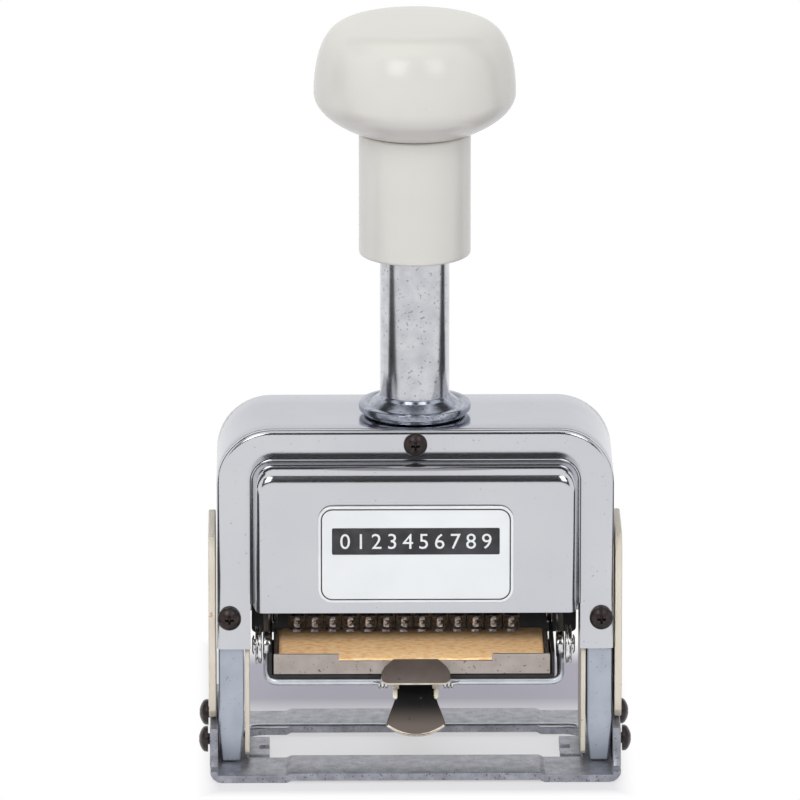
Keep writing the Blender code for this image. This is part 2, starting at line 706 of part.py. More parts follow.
def make_cover():
    outer = arch(HALF_HOUSING, HOUSING_BOTTOM, HOUSING_TOP, HOUSING_RADIUS)
    middle = COVER_FACE - COVER_THICKNESS / 2
    cover = outline("front_cover", outer, COVER_THICKNESS, facing_front(middle))
    back = COVER_FACE - COVER_THICKNESS
    hood = hood_solid("hood", 0, HOOD_FACE, COVER_FACE - COVER_THICKNESS / 2)
    half = HALF_OPENING + SEAT_GAP
    gap = box(
        "opening",
        (-half, -HOOD_FACE - OVERRUN, HOUSING_BOTTOM - OVERRUN),
        (half, -back + OVERRUN, HOOD_BOTTOM),
    )
    inside = hood_solid("inside", HOOD_WALL, HOOD_FACE - HOOD_WALL, back - OVERRUN)
    cover = cut(join(cover, hood), inside, gap)
    for name, x, z in cover_screw_places():
        size = SCREW_SHANK_RADIUS + SEAT_GAP
        hole = rod(name, size, (x, -COVER_FACE - OVERRUN, z), (x, -back + OVERRUN, z))
        cover = cut(cover, hole)
    return chrome(cover)


def cover_screw_places():
    side = COVER_SCREW_SIDE_SPREAD
    return (
        ("cover_screw_top", 0, COVER_SCREW_TOP_HEIGHT),
        ("cover_screw_left", -side, COVER_SCREW_SIDE_HEIGHT),
        ("cover_screw_right", side, COVER_SCREW_SIDE_HEIGHT),
    )


def make_name_plate():
    half = NAME_PLATE_WIDTH / 2
    rise = NAME_PLATE_HEIGHT / 2
    low = (-half, NAME_PLATE_HEIGHT_UP - rise)
    high = (half, NAME_PLATE_HEIGHT_UP + rise)
    points = rounded_box(low, high, NAME_PLATE_RADIUS)
    middle = HOOD_FACE + SEAT_GAP + NAME_PLATE_THICKNESS / 2
    plate = outline("name_plate", points, NAME_PLATE_THICKNESS, facing_front(middle))
    return white_label(plate)


def make_side_pieces():
    """The leg casting, the inner guide plate and the outer plate of each side."""
    for side, sign in (("left", -1), ("right", 1)):
        outside = HALF_HOUSING - SEAT_GAP
        inside = outside - LEG_WIDTH
        under_shell = HALF_HOUSING - HOUSING_WALL - SEAT_GAP
        step = HOUSING_BOTTOM - SEAT_GAP
        floor = BASE_THICKNESS + SEAT_GAP
        shape = [
            (inside + LEG_TAPER, floor),
            (outside - LEG_TAPER, floor),
            (outside, floor + LEG_TAPER_HEIGHT),
            (outside, step),
            (under_shell, step),
            (under_shell, LEG_TOP),
            (inside, LEG_TOP),
            (inside, floor + LEG_TAPER_HEIGHT),
        ]
        if sign < 0:
            shape = [(-x, z) for x, z in reversed(shape)]
        middle = (LEG_FRONT - LEG_BACK) / 2
        leg = outline(f"{side}_leg", shape, LEG_FRONT + LEG_BACK, facing_front(middle))
        zinc(rounded(cut(leg, *side_screw_holes(BASE_WIDTH)), SEAT_GAP, 1))

        guide = rounded_box(
            (-GUIDE_PLATE_FRONT, GUIDE_PLATE_BOTTOM),
            (GUIDE_PLATE_BACK, GUIDE_PLATE_TOP),
            GUIDE_PLATE_RADIUS,
        )
        across = sign * (inside - SEAT_GAP - GUIDE_PLATE_THICKNESS / 2)
        guide = outline(f"{side}_guide_plate", guide, GUIDE_PLATE_THICKNESS, facing_side(across))
        ivory_paint(guide)

        plate = rounded_box(
            (-OUTER_PLATE_FRONT, BASE_FLANGE_TOP + SEAT_GAP),
            (OUTER_PLATE_BACK, OUTER_PLATE_TOP),
            OUTER_PLATE_RADIUS,
        )
        across = sign * (HALF_HOUSING + SEAT_GAP + OUTER_PLATE_THICKNESS / 2)
        plate = outline(f"{side}_outer_plate", plate, OUTER_PLATE_THICKNESS, facing_side(across))
        ivory_paint(plate)

        for end, y in (("front", -SIDE_SCREW_FRONT), ("back", SIDE_SCREW_BACK)):
            seat = (sign * (BASE_WIDTH / 2 + SEAT_GAP), y, SIDE_SCREW_HEIGHT)
            name = f"{side}_{end}_base_screw"
            screw(name, seat, (sign, 0, 0), SIDE_SCREW_RADIUS, SIDE_SCREW_HEAD)


def make_stem():
    z0 = STEM_BOTTOM
    flange_low = z0 + STEM_FOOT_HEIGHT
    flange_high = flange_low + STEM_FLANGE_THICKNESS
    flare = flange_high + STEM_FLARE_HEIGHT
    shape = [
        (STEM_RADIUS, STEM_TOP),
        (STEM_RADIUS, flare),
        (STEM_FLARE_RADIUS, flange_high),
        (STEM_FLANGE_RADIUS - SEAT_GAP, flange_high),
        (STEM_FLANGE_RADIUS, flange_high - SEAT_GAP),
        (STEM_FLANGE_RADIUS, flange_low),
        (STEM_FOOT_RADIUS, flange_low),
        (STEM_FOOT_RADIUS, z0),
        (ROD_BORE_RADIUS, z0),
        (ROD_BORE_RADIUS, STEM_BORE_FLOOR),
        (STEM_BORE_RADIUS, STEM_BORE_FLOOR),
        (STEM_BORE_RADIUS, STEM_TOP),
    ]
    return chrome(turned("stem_tube", shape, STEM_STEPS))


def make_knob():
    """The mushroom cap and, under it, the sleeve that runs over the stem."""
    bore = SLEEVE_BORE_RADIUS
    edge = SLEEVE_ROUNDING
    corner = arc((SLEEVE_RADIUS - edge, SLEEVE_BOTTOM + edge), edge, 0, -90, 4)
    shape = [(SLEEVE_RADIUS, SLEEVE_TOP), *corner, (bore, SLEEVE_BOTTOM), (bore, SLEEVE_TOP)]
    ivory_plastic(turned("knob_sleeve", shape, STEM_STEPS))

    rise = KNOB_TOP - KNOB_WIDEST
    drop = KNOB_WIDEST - KNOB_BOTTOM
    neck = SLEEVE_RADIUS
    over = []
    for i in range(KNOB_ARC_POINTS + 1):
        angle = math.pi / 2 * (1 - i / KNOB_ARC_POINTS)
        across = math.cos(angle) ** KNOB_TOP_FLATNESS_SHARE
        over.append((KNOB_RADIUS * across if i else 0, KNOB_WIDEST + rise * math.sin(angle)))
    under = []
    for i in range(1, KNOB_ARC_POINTS + 1):
        angle = math.pi / 2 * i / KNOB_ARC_POINTS
        across = neck + (KNOB_RADIUS - neck) * math.cos(angle) ** KNOB_UNDER_TAPER_SHARE
        under.append((across, KNOB_WIDEST - drop * math.sin(angle)))
    rod_seat = ROD_RADIUS + SEAT_GAP
    inside = [
        (bore, KNOB_BOTTOM),
        (bore, KNOB_CEILING),
        (rod_seat, KNOB_CEILING),
        (rod_seat, ROD_TOP + SEAT_GAP),
        (0, ROD_TOP + SEAT_GAP),
    ]
    ivory_plastic(turned("knob_cap", over + under + inside, KNOB_STEPS))


def make_rod_and_spring():
    bar = rod("plunger_rod", ROD_RADIUS, (0, 0, ROD_BOTTOM), (0, 0, ROD_TOP))
    steel(bar)
    low = STEM_BORE_FLOOR + SPRING_WIRE_RADIUS + SEAT_GAP
    high = KNOB_CEILING - SPRING_WIRE_RADIUS - SEAT_GAP
    middle = (STEM_BORE_RADIUS + ROD_RADIUS) / 2
    points = []
    count = SPRING_TURNS * SPRING_POINTS_PER_TURN
    for i in range(count + 1):
        angle = 2 * math.pi * i / SPRING_POINTS_PER_TURN
        height = low + (high - low) * i / count
        points.append((middle * math.cos(angle), middle * math.sin(angle), height))
    gap = (high - low) / SPRING_TURNS - 2 * SPRING_WIRE_RADIUS
    print("return_spring: gap between turns", round(gap / MM, 2), "mm")
    steel(wire("return_spring", points, SPRING_WIRE_RADIUS))


def make_carriage():
    yoke = box(
        "carriage_yoke",
        (-CARRIAGE_LEFT, AXLE_BACK - CARRIAGE_PLATE_HALF_DEPTH, YOKE_BOTTOM),
        (CARRIAGE_RIGHT, AXLE_BACK + CARRIAGE_PLATE_HALF_DEPTH, YOKE_TOP),
    )
    yoke = rounded(yoke, YOKE_ROUNDING)
    seat = ROD_RADIUS + SEAT_GAP
    hole = rod("yoke_hole", seat, (0, 0, YOKE_BOTTOM - OVERRUN), (0, 0, YOKE_TOP + OVERRUN))
    steel(cut(yoke, hole))
    nut = rod(
        "rod_nut",
        ROD_NUT_RADIUS,
        (0, 0, ROD_BOTTOM + SEAT_GAP),
        (0, 0, YOKE_BOTTOM - SEAT_GAP),
        ROD_NUT_SIDES,
    )
    hole = rod("nut_hole", seat, (0, 0, ROD_BOTTOM - OVERRUN), (0, 0, YOKE_BOTTOM))
    steel(cut(nut, hole))

    half = CARRIAGE_PLATE_HALF_DEPTH
    shape = arc((AXLE_BACK, AXLE_HEIGHT), half, 180, 360, 11)
    shape += [(AXLE_BACK + half, PLATE_TOP), (AXLE_BACK - half, PLATE_TOP)]
    axle_hole = AXLE_RADIUS + SEAT_GAP
    for side, middle in (
        ("left", -CARRIAGE_LEFT + CARRIAGE_PLATE_THICKNESS / 2),
        ("right", CARRIAGE_RIGHT - CARRIAGE_PLATE_THICKNESS / 2),
    ):
        plate = outline(
            f"carriage_{side}_plate", shape, CARRIAGE_PLATE_THICKNESS, facing_side(middle)
        )
        steel(cut(plate, axle_bar("axle_hole", axle_hole, OVERRUN)))
    steel(axle_bar("wheel_axle", AXLE_RADIUS, 0))


def axle_bar(name, radius, extra):
    """A bar on the wheels' axis that reaches past both eyes of the pad's bracket."""
    left = Vector((-BRACKET_LEFT - AXLE_OVERHANG - extra, AXLE.y, AXLE.z))
    right = Vector((BRACKET_RIGHT + AXLE_OVERHANG + extra, AXLE.y, AXLE.z))
    return rod(name, radius, left, right)


def make_comb():
    """The comb of springy teeth above the wheels that clicks each one into place."""
    low = AXLE_HEIGHT + WHEEL_RADIUS + COMB_ABOVE_WHEELS
    base = low + COMB_HEIGHT - COMB_BASE_HEIGHT
    left = -CARRIAGE_LEFT + CARRIAGE_PLATE_THICKNESS + SEAT_GAP
    right = CARRIAGE_RIGHT - CARRIAGE_PLATE_THICKNESS - SEAT_GAP
    top = low + COMB_HEIGHT
    shape = [(right, top), (left, top), (left, base)]
    for i in range(WHEEL_COUNT):
        x = FIRST_WHEEL + i * WHEEL_PITCH
        half = COMB_TOOTH_WIDTH / 2
        shape += [(x - half, base), (x - half, low), (x + half, low), (x + half, base)]
    shape += [(right, base)]
    comb = outline("detent_comb", shape, COMB_THICKNESS, facing_front(-AXLE_BACK))
    steel(comb)


def make_spacers():
    """Two tubes that hold the row of wheels on the axle."""
    bore = AXLE_RADIUS + SEAT_GAP
    size = WHEEL_HUB_RADIUS / 2
    wall = CARRIAGE_PLATE_THICKNESS + SEAT_GAP
    half = WHEEL_THICKNESS / 2 + RUNNING_GAP
    spans = {
        "left_axle_spacer": (-CARRIAGE_LEFT + wall, FIRST_WHEEL - half),
        "right_axle_spacer": (PAWL_PLACE + PAWL_THICKNESS / 2 + RUNNING_GAP, CARRIAGE_RIGHT - wall),
    }
    for name, (x0, x1) in spans.items():
        tube = rod(name, size, (x0, AXLE.y, AXLE.z), (x1, AXLE.y, AXLE.z))
        steel(cut(tube, axle_bar("bore", bore, OVERRUN)))


def make_wheels():
    """Thirteen wheels with ten raised faces each, one mesh shape for all."""
    steps = WHEEL_DIGITS * WHEEL_STEPS_PER_DIGIT
    points = []
    for i in range(steps):
        digit, part = divmod(i, WHEEL_STEPS_PER_DIGIT)
        start = digit * 2 * math.pi / WHEEL_DIGITS
        face = 2 * math.pi / WHEEL_DIGITS * WHEEL_DIGIT_SHARE
        inner = part in (0, WHEEL_STEPS_PER_DIGIT - 1)
        angle = start + face * (part // 2) - math.pi / 2 - face / 2
        radius = WHEEL_HUB_RADIUS if inner else WHEEL_RADIUS
        spread = face * (WHEEL_DIGIT_TAPER_SHARE if inner else 0)
        angle += -spread if part == 0 else spread
        points.append((AXLE_BACK + radius * math.cos(angle), AXLE_HEIGHT + radius * math.sin(angle)))
    bore = AXLE_RADIUS + SEAT_GAP
    for i in range(WHEEL_COUNT):
        x = FIRST_WHEEL + i * WHEEL_PITCH
        name = f"number_wheel_{i + 1:02d}"
        wheel = outline(name, points, WHEEL_THICKNESS, facing_side(x))
        steel(cut(wheel, axle_bar("bore", bore, OVERRUN)))


def make_pawl():
    """The arm beside the units wheel that pushes it on one digit at each stroke."""
    hub = rod(
        "pawl_arm",
        PAWL_HUB_RADIUS,
        (PAWL_PLACE - PAWL_THICKNESS / 2, AXLE.y, AXLE.z),
        (PAWL_PLACE + PAWL_THICKNESS / 2, AXLE.y, AXLE.z),
    )
    half = PAWL_TIP_RADIUS
    back = AXLE_BACK + PAWL_LENGTH - half
    tip = arc((back, AXLE_HEIGHT), half, -90, 90, 5)
    shape = [(AXLE_BACK, AXLE_HEIGHT - half), *tip, (AXLE_BACK, AXLE_HEIGHT + half)]
    arm = outline("arm", shape, PAWL_THICKNESS, facing_side(PAWL_PLACE))
    bore = axle_bar("bore", AXLE_RADIUS + SEAT_GAP, OVERRUN)
    steel(cut(join(hub, arm), bore))


def make_pad():
    """The tray with its raised front lip, and the felt pad in it."""
    outer_low = (-TRAY_LEFT, -TRAY_FRONT, TRAY_BOTTOM)
    tray = box("pad_tray", outer_low, (TRAY_RIGHT, TRAY_BACK, TRAY_LIP_TOP))
    wall = TRAY_WALL
    floor = TRAY_BOTTOM + TRAY_FLOOR
    above = TRAY_LIP_TOP + OVERRUN
    inside = box(
        "inside",
        (-TRAY_LEFT + wall, -TRAY_FRONT + wall, floor),
        (TRAY_RIGHT - wall, TRAY_BACK - wall, above),
    )
    rim = PAD_TOP - TRAY_SIDE_DROP
    behind = box(
        "behind",
        (-TRAY_LEFT - OVERRUN, -TRAY_FRONT + wall, rim),
        (TRAY_RIGHT + OVERRUN, TRAY_BACK + OVERRUN, above),
    )
    half = TRAY_LIP_NOTCH_WIDTH / 2
    notch = box(
        "notch",
        (-half, -TRAY_FRONT - OVERRUN, TRAY_LIP_TOP - TRAY_LIP_NOTCH_DEPTH),
        (half, TRAY_BACK + OVERRUN, above),
    )
    finish(cut(tray, inside, behind, notch), (0.36, 0.33, 0.3), 0.5, 0.6)
    low = (
        -TRAY_LEFT + wall + SEAT_GAP,
        -TRAY_FRONT + wall + SEAT_GAP,
        floor + SEAT_GAP,
    )
    high = (TRAY_RIGHT - wall - SEAT_GAP, TRAY_BACK - wall - SEAT_GAP, PAD_TOP)
    felt(box("ink_pad", low, high))


def make_bracket():
    """The wire that runs under the tray, with an eye at each end round the axle."""
    run = (BAR - AXLE).normalized()
    reach = (BAR - AXLE).length
    corner = BRACKET_CORNER
    points = []
    for sign, across in ((-1, -BRACKET_LEFT), (1, BRACKET_RIGHT)):
        eye = AXLE + run * (AXLE_RADIUS + SEAT_GAP * 2)
        side = [Vector((across, eye.y, eye.z))]
        for x, along in arc((across - sign * corner, reach - corner), corner, 0, 90, BRACKET_CORNER_POINTS):
            place = AXLE + run * along
            turned_x = x if sign > 0 else 2 * (across + corner) - x
            side.append(Vector((turned_x, place.y, place.z)))
        points += side if sign < 0 else side[::-1]
    bracket = wire("pad_bracket", points, BRACKET_WIRE_RADIUS)
    half = EYE_THICKNESS / 2
    for name, across in (("left_eye", -BRACKET_LEFT), ("right_eye", BRACKET_RIGHT)):
        start = (across - half, AXLE.y, AXLE.z)
        bracket = join(bracket, rod(name, EYE_RADIUS, start, (across + half, AXLE.y, AXLE.z)))
    chrome(cut(bracket, axle_bar("bore", AXLE_RADIUS + SEAT_GAP, OVERRUN)))


def make_rollers():
    """A roller on a headed pin outside each arm of the bracket."""
    for side, sign, arm in (("left", -1, BRACKET_LEFT), ("right", 1, BRACKET_RIGHT)):
        start = arm + BRACKET_WIRE_RADIUS + SEAT_GAP
        end = start + ROLLER_THICKNESS
        places = [Vector((sign * x, ROLLER.y, ROLLER.z)) for x in (start, end)]
        roller = rod(f"{side}_pad_roller", ROLLER_RADIUS, *places)
        extra = Vector((sign * OVERRUN, 0, 0))
        bore = rod("bore", ROLLER_PIN_RADIUS + SEAT_GAP, places[0] - extra, places[1] + extra)
        chrome(cut(roller, bore))
        gap = Vector((sign * SEAT_GAP, 0, 0))
        head = Vector((sign * ROLLER_PIN_HEAD_HEIGHT, 0, 0))
        pin = rod(f"{side}_roller_pin", ROLLER_PIN_RADIUS, places[0], places[1] + gap + head / 2)
        cap = rod("cap", ROLLER_PIN_HEAD_RADIUS, places[1] + gap, places[1] + gap + head)
        chrome(join(pin, cap))


def make_finger_tabs():
    """The sloping tab on the tray's lip, and the fan lever that pivots on the bar."""
    back, front = UPPER_TAB_BACK_HALF, UPPER_TAB_FRONT_HALF
    slope = math.atan2(UPPER_TAB_DROP, UPPER_TAB_REACH)
    length = math.hypot(UPPER_TAB_REACH, UPPER_TAB_DROP)
    radius = UPPER_TAB_RADIUS
    shape = arc((-front + radius, -length + radius), radius, 180, 270, 4)
    shape += arc((front - radius, -length + radius), radius, 270, 360, 4)
    shape += [(front, -length / 2), (back, 0), (-back, 0), (-front, -length / 2)]
    top = TRAY_LIP_TOP - TRAY_LIP_NOTCH_DEPTH
    place = Matrix.Translation((0, -TRAY_FRONT - SEAT_GAP, top))
    turn = Matrix.Rotation(slope, 4, "X")
    dark_paint(outline("upper_finger_tab", shape, TAB_THICKNESS, place @ turn))

    neck, fan = LEVER_NECK_HALF, LEVER_FAN_HALF
    ear = LEVER_EAR_RADIUS
    start = BRACKET_WIRE_RADIUS + 2 * SEAT_GAP
    sag = LEVER_LENGTH - LEVER_FAN_END
    curve = (fan * fan + sag * sag) / (2 * sag)
    spread = math.degrees(math.asin(fan / curve))
    end = arc((0, -LEVER_LENGTH + curve), curve, 270 - spread, 270 + spread, 7)
    shape = [(-neck, -start), (-neck, -LEVER_FAN_START), *end, (neck, -LEVER_FAN_START)]
    shape += [(neck, -start)]
    drop = Matrix.Translation((0, 0, -start + LEVER_SLACK))
    tilt = Matrix.Translation(BAR) @ Matrix.Rotation(LEVER_SLOPE, 4, "X") @ drop
    lever = outline("pad_release_lever", shape, TAB_THICKNESS, tilt)
    half = LEVER_EAR_WIDTH / 2
    for sign in (-1, 1):
        across = sign * (LEVER_EAR_SPREAD - half)
        ends = (BAR + Vector((across - half, 0, 0)), BAR + Vector((across + half, 0, 0)))
        lever = join(lever, rod("ear", ear, *ends, STEM_STEPS // 2))
    reach = Vector((TRAY_LEFT, 0, 0))
    bore = rod("bore", BRACKET_WIRE_RADIUS + SEAT_GAP, BAR - reach, BAR + reach)
    dark_paint(cut(lever, bore))


def main():
    make_base()
    make_housing()
    make_cover()
    make_name_plate()
    make_side_pieces()
    for name, x, z in cover_screw_places():
        seat = (x, -COVER_FACE - SEAT_GAP, z)
        screw(name, seat, (0, -1, 0), COVER_SCREW_RADIUS, COVER_SCREW_HEAD)
    make_stem()
    make_knob()
    make_rod_and_spring()
    make_carriage()
    make_comb()
    make_spacers()
    make_wheels()
    make_pawl()
    make_pad()
    make_bracket()
    make_rollers()
    make_finger_tabs()


main()
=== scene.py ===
# %% [markdown]
# # A desk numbering machine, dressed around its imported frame
# The frame holds the machine's solids at their real size, and the joints that move them.
# This script gives each of them its finish, and swaps the ones that show most for finer
# meshes made with bmesh. Lengths are in metres, +Z is up, and the front faces -Y.

# %% Load the frame
import json
import math
import random

import bmesh
import bpy
from mathutils import Matrix, Vector


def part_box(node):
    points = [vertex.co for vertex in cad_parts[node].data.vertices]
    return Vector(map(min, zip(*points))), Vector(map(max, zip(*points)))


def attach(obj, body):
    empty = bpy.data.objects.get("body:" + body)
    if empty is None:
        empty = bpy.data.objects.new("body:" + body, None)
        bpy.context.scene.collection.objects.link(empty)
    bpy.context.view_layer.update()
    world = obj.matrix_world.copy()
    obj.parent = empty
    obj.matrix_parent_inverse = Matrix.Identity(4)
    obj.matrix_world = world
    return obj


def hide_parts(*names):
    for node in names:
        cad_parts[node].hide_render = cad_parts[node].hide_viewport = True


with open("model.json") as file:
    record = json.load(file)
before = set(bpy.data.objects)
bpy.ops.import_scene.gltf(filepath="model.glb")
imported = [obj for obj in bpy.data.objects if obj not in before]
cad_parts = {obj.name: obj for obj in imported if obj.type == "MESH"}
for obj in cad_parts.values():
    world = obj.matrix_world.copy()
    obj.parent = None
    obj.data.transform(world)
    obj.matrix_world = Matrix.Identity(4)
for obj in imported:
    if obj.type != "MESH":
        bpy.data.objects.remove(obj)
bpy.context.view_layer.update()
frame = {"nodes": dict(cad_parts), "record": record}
MM = 0.001

# %% [markdown]
# ## The camera
# A product photograph like this is taken with a long lens from a few metres away, so that
# upright edges stay parallel. The camera looks down at about 15 degrees from a hair to the
# machine's left. It aims at a point, and the lens is worked out from how wide the view is there.

# %% The camera
VIEW_CENTRE = Vector((-3.1, 0, 77.9)) * MM
VIEW_WIDTH = 168.7 * MM
CAMERA_DISTANCE = 2.5
CAMERA_AZIMUTH = math.radians(-0.6)
CAMERA_ELEVATION = math.radians(15.5)

camera_data = bpy.data.cameras.new("camera")
camera = bpy.data.objects.new("camera", camera_data)
bpy.context.scene.collection.objects.link(camera)
toward = Vector(
    (
        math.cos(CAMERA_ELEVATION) * math.sin(CAMERA_AZIMUTH),
        -math.cos(CAMERA_ELEVATION) * math.cos(CAMERA_AZIMUTH),
        math.sin(CAMERA_ELEVATION),
    )
)
camera.location = VIEW_CENTRE + toward * CAMERA_DISTANCE
camera.rotation_euler = (-toward).to_track_quat("-Z", "Y").to_euler()
camera_data.lens = camera_data.sensor_width * CAMERA_DISTANCE / VIEW_WIDTH
camera_data.clip_end = 20
bpy.context.scene.camera = camera
print("lens", round(camera_data.lens), "mm")

# %% [markdown]
# ## The studio
# Bright metal shows only what stands round it. A plain white world gives the plating its light
# tone, and a few dark cards give the fine dark lines that a polished tube and a rounded edge
# show in a product photograph: beside the machine, above it, flat on the floor, and behind the
# lamps in front. The cards are only seen in reflections. Two softboxes and a wide low lamp
# light everything else softly from the front, at a level where a colour comes out about as it is
# written. A small lamp fills in under the hood, and two more lift the side and the top. The low
# lamp and the fill lamp are not seen in the metal.


# %% The lamps
AIM = (0, 0, 0.1)
SOFTBOX_AIM = (0, 0, 0.08)
SOFTBOX_SIZE = (0.42, 0.56)
FILL_SPREAD = math.radians(34)
LAMPS = (
    ("left_softbox", (-0.42, -0.98, 0.8), SOFTBOX_AIM, SOFTBOX_SIZE, 3.1),
    ("right_softbox", (0.46, -0.92, 0.8), SOFTBOX_AIM, SOFTBOX_SIZE, 2.1),
    ("low_lamp", (0.05, -1.25, 0.42), (0, 0, 0.03), (0.9, 0.26), 2.3),
    ("fill_lamp", (0, -0.24, 0.15), (0, -0.014, 0.024), (0.12, 0.04), 0.019),
    ("side_lamp", (-0.95, 0.1, 0.6), AIM, (0.4, 0.5), 1.4),
    ("top_lamp", (0.1, 0.5, 1.1), AIM, (0.9, 0.5), 1.4),
)


def add_lamp(name, place, aim, size, power):
    """A rectangular area lamp that points at a place."""
    data = bpy.data.lights.new(name, "AREA")
    data.shape = "RECTANGLE"
    data.size, data.size_y = size
    data.energy = power
    lamp = bpy.data.objects.new(name, data)
    lamp.location = place
    lamp.rotation_euler = (Vector(aim) - Vector(place)).to_track_quat("-Z", "Y").to_euler()
    bpy.context.scene.collection.objects.link(lamp)
    return lamp


lamps = {row[0]: add_lamp(*row) for row in LAMPS}
lamps["fill_lamp"].data.spread = FILL_SPREAD
lamps["low_lamp"].visible_glossy = lamps["fill_lamp"].visible_glossy = False
print("lamps:", len(lamps), "with", round(sum(row[4] for row in LAMPS), 1), "W in all")

# %% The white world
WORLD_FOR_SHADING = 0.6

world = bpy.data.worlds.new("studio")
bpy.context.scene.world = world
world.use_nodes = True
nodes, links = world.node_tree.nodes, world.node_tree.links
nodes["Background"].inputs["Color"].default_value = (1, 1, 1, 1)


def shown_rays(nodes, links):
    """1 for rays from the camera, from a reflection or through glass, and 0 for others."""
    rays = nodes.new("ShaderNodeLightPath")
    total = rays.outputs["Is Camera Ray"]
    for kind in ("Is Glossy Ray", "Is Transmission Ray"):
        either = nodes.new("ShaderNodeMath")
        either.operation = "MAXIMUM"
        links.new(total, either.inputs[0])
        links.new(rays.outputs[kind], either.inputs[1])
        total = either.outputs["Value"]
    return total


level = nodes.new("ShaderNodeMapRange")
level.inputs["To Min"].default_value = WORLD_FOR_SHADING
level.inputs["To Max"].default_value = 1.0
links.new(shown_rays(nodes, links), level.inputs["Value"])
links.new(level.outputs["Result"], nodes["Background"].inputs["Strength"])
bpy.context.scene.view_settings.view_transform = "Standard"

# %% The dark cards
CARD_TONE = (0.03, 0.03, 0.03, 1)
CARDS = (
    ("left_card", (-0.8, 0.1, 0.4), (0.4, 1.0)),
    ("right_card", (0.8, 0.16, 0.4), (0.2, 1.0)),
    ("front_card", (0, -1.55, 1.05), (3.4, 1.5)),
    ("high_back_card", (0, 0.42, 0.95), (1.8, 0.46)),
)
STRIPS = (("left_strip", -82), ("right_strip", 105))
STRIP_SIZE = (0.16, 0.7)
STRIP_REACH = 0.45
STRIP_HEIGHT = 0.001


def add_card(name, place, size, azimuth=None):
    """A dark card seen only in reflections; with an azimuth it lies on the floor."""
    bm = bmesh.new()
    bmesh.ops.create_grid(bm, x_segments=1, y_segments=1, size=0.5)
    bmesh.ops.scale(bm, vec=(*size, 1), verts=bm.verts)
    mesh = bpy.data.meshes.new(name)
    bm.to_mesh(mesh)
    bm.free()
    card = bpy.data.objects.new(name, mesh)
    card.location = place
    if azimuth is None:
        card.rotation_euler = Vector(place).to_track_quat("Z", "Y").to_euler()
    else:
        card.rotation_euler.z = math.radians(azimuth)
    bpy.context.scene.collection.objects.link(card)
    card.visible_camera = False
    card.visible_diffuse = False
    card.visible_shadow = False
    look = bpy.data.materials.new(name)
    look.use_nodes = True
    shader = look.node_tree.nodes["Principled BSDF"]
    shader.inputs["Base Color"].default_value = CARD_TONE
    shader.inputs["Roughness"].default_value = 1
    mesh.materials.append(look)


for row in CARDS:
    add_card(*row)
for name, azimuth in STRIPS:
    turn = math.radians(azimuth)
    place = (STRIP_REACH * math.sin(turn), -STRIP_REACH * math.cos(turn), STRIP_HEIGHT)
    add_card(name, place, STRIP_SIZE, azimuth)
print("dark cards:", len(CARDS), "and", len(STRIPS), "strips on the floor")

# %% [markdown]
# ## Finishes
# Every finish starts from one Principled shader. Its colour is mixed between two tones by a
# noise, and a finer noise drives a little bump, so no surface is one flat colour. The
# pattern reads Object coordinates, which in this scene are metres on the machine itself,
# so a noise scale of 1000 has features about a millimetre across.


# %% A finish from two tones and two noises
def new_finish(name, roughness, metallic=0.0):
    """A material with its Principled shader, ready to be fed."""
    look = bpy.data.materials.new(name)
    look.use_nodes = True
    shader = look.node_tree.nodes["Principled BSDF"]
    shader.inputs["Roughness"].default_value = roughness
    shader.inputs["Metallic"].default_value = metallic
    return look, shader


def noise(look, scale, detail=3.0, stretch=(1, 1, 1)):
    """A noise on Object coordinates; stretch above 1 along an axis makes it finer there."""
    tree = look.node_tree
    place = tree.nodes.new("ShaderNodeTexCoord")
    turn = tree.nodes.new("ShaderNodeMapping")
    turn.inputs["Scale"].default_value = stretch
    tree.links.new(place.outputs["Object"], turn.inputs["Vector"])
    made = tree.nodes.new("ShaderNodeTexNoise")
    made.inputs["Scale"].default_value = scale
    made.inputs["Detail"].default_value = detail
    tree.links.new(turn.outputs["Vector"], made.inputs["Vector"])
    return made.outputs["Fac"]


def ranged(tree, source, from_range, to_range, interpolation="SMOOTHSTEP"):
    """A number of one range carried over to another, and steady outside it."""
    made = tree.nodes.new("ShaderNodeMapRange")
    made.interpolation_type = interpolation
    made.inputs["From Min"].default_value, made.inputs["From Max"].default_value = from_range
    made.inputs["To Min"].default_value, made.inputs["To Max"].default_value = to_range
    tree.links.new(source, made.inputs["Value"])
    return made.outputs["Result"]


def along(tree, axis):
    """Where a point lies along an axis, in Object coordinates."""
    place = tree.nodes.new("ShaderNodeTexCoord")
    axes = tree.nodes.new("ShaderNodeSeparateXYZ")
    tree.links.new(place.outputs["Object"], axes.inputs["Vector"])
    return axes.outputs[axis]


def mixed(look, shader, share, tone, other):
    """Feed the shader a tone that gives way to another colour where the share is 1."""
    tree = look.node_tree
    mix = tree.nodes.new("ShaderNodeMix")
    mix.data_type = "RGBA"
    tree.links.new(share, mix.inputs["Factor"])
    tree.links.new(tone, mix.inputs["A"])
    mix.inputs["B"].default_value = (*other, 1)
    tree.links.new(mix.outputs["Result"], shader.inputs["Base Color"])


def ramp(look, source, stops):
    """Maps a number to colours; stops are (place, colour)."""
    made = look.node_tree.nodes.new("ShaderNodeValToRGB")
    look.node_tree.links.new(source, made.inputs["Fac"])
    elements = made.color_ramp.elements
    while len(elements) < len(stops):
        elements.new(0.5)
    for element, (place, colour) in zip(elements, stops):
        element.position = place
        element.color = (*colour, 1)
    return made.outputs["Color"]


def bump(look, shader, source, height):
    """Raises the surface by up to height metres where the source is 1."""
    made = look.node_tree.nodes.new("ShaderNodeBump")
    made.inputs["Strength"].default_value = 1.0
    made.inputs["Distance"].default_value = height
    look.node_tree.links.new(source, made.inputs["Height"])
    look.node_tree.links.new(made.outputs["Normal"], shader.inputs["Normal"])


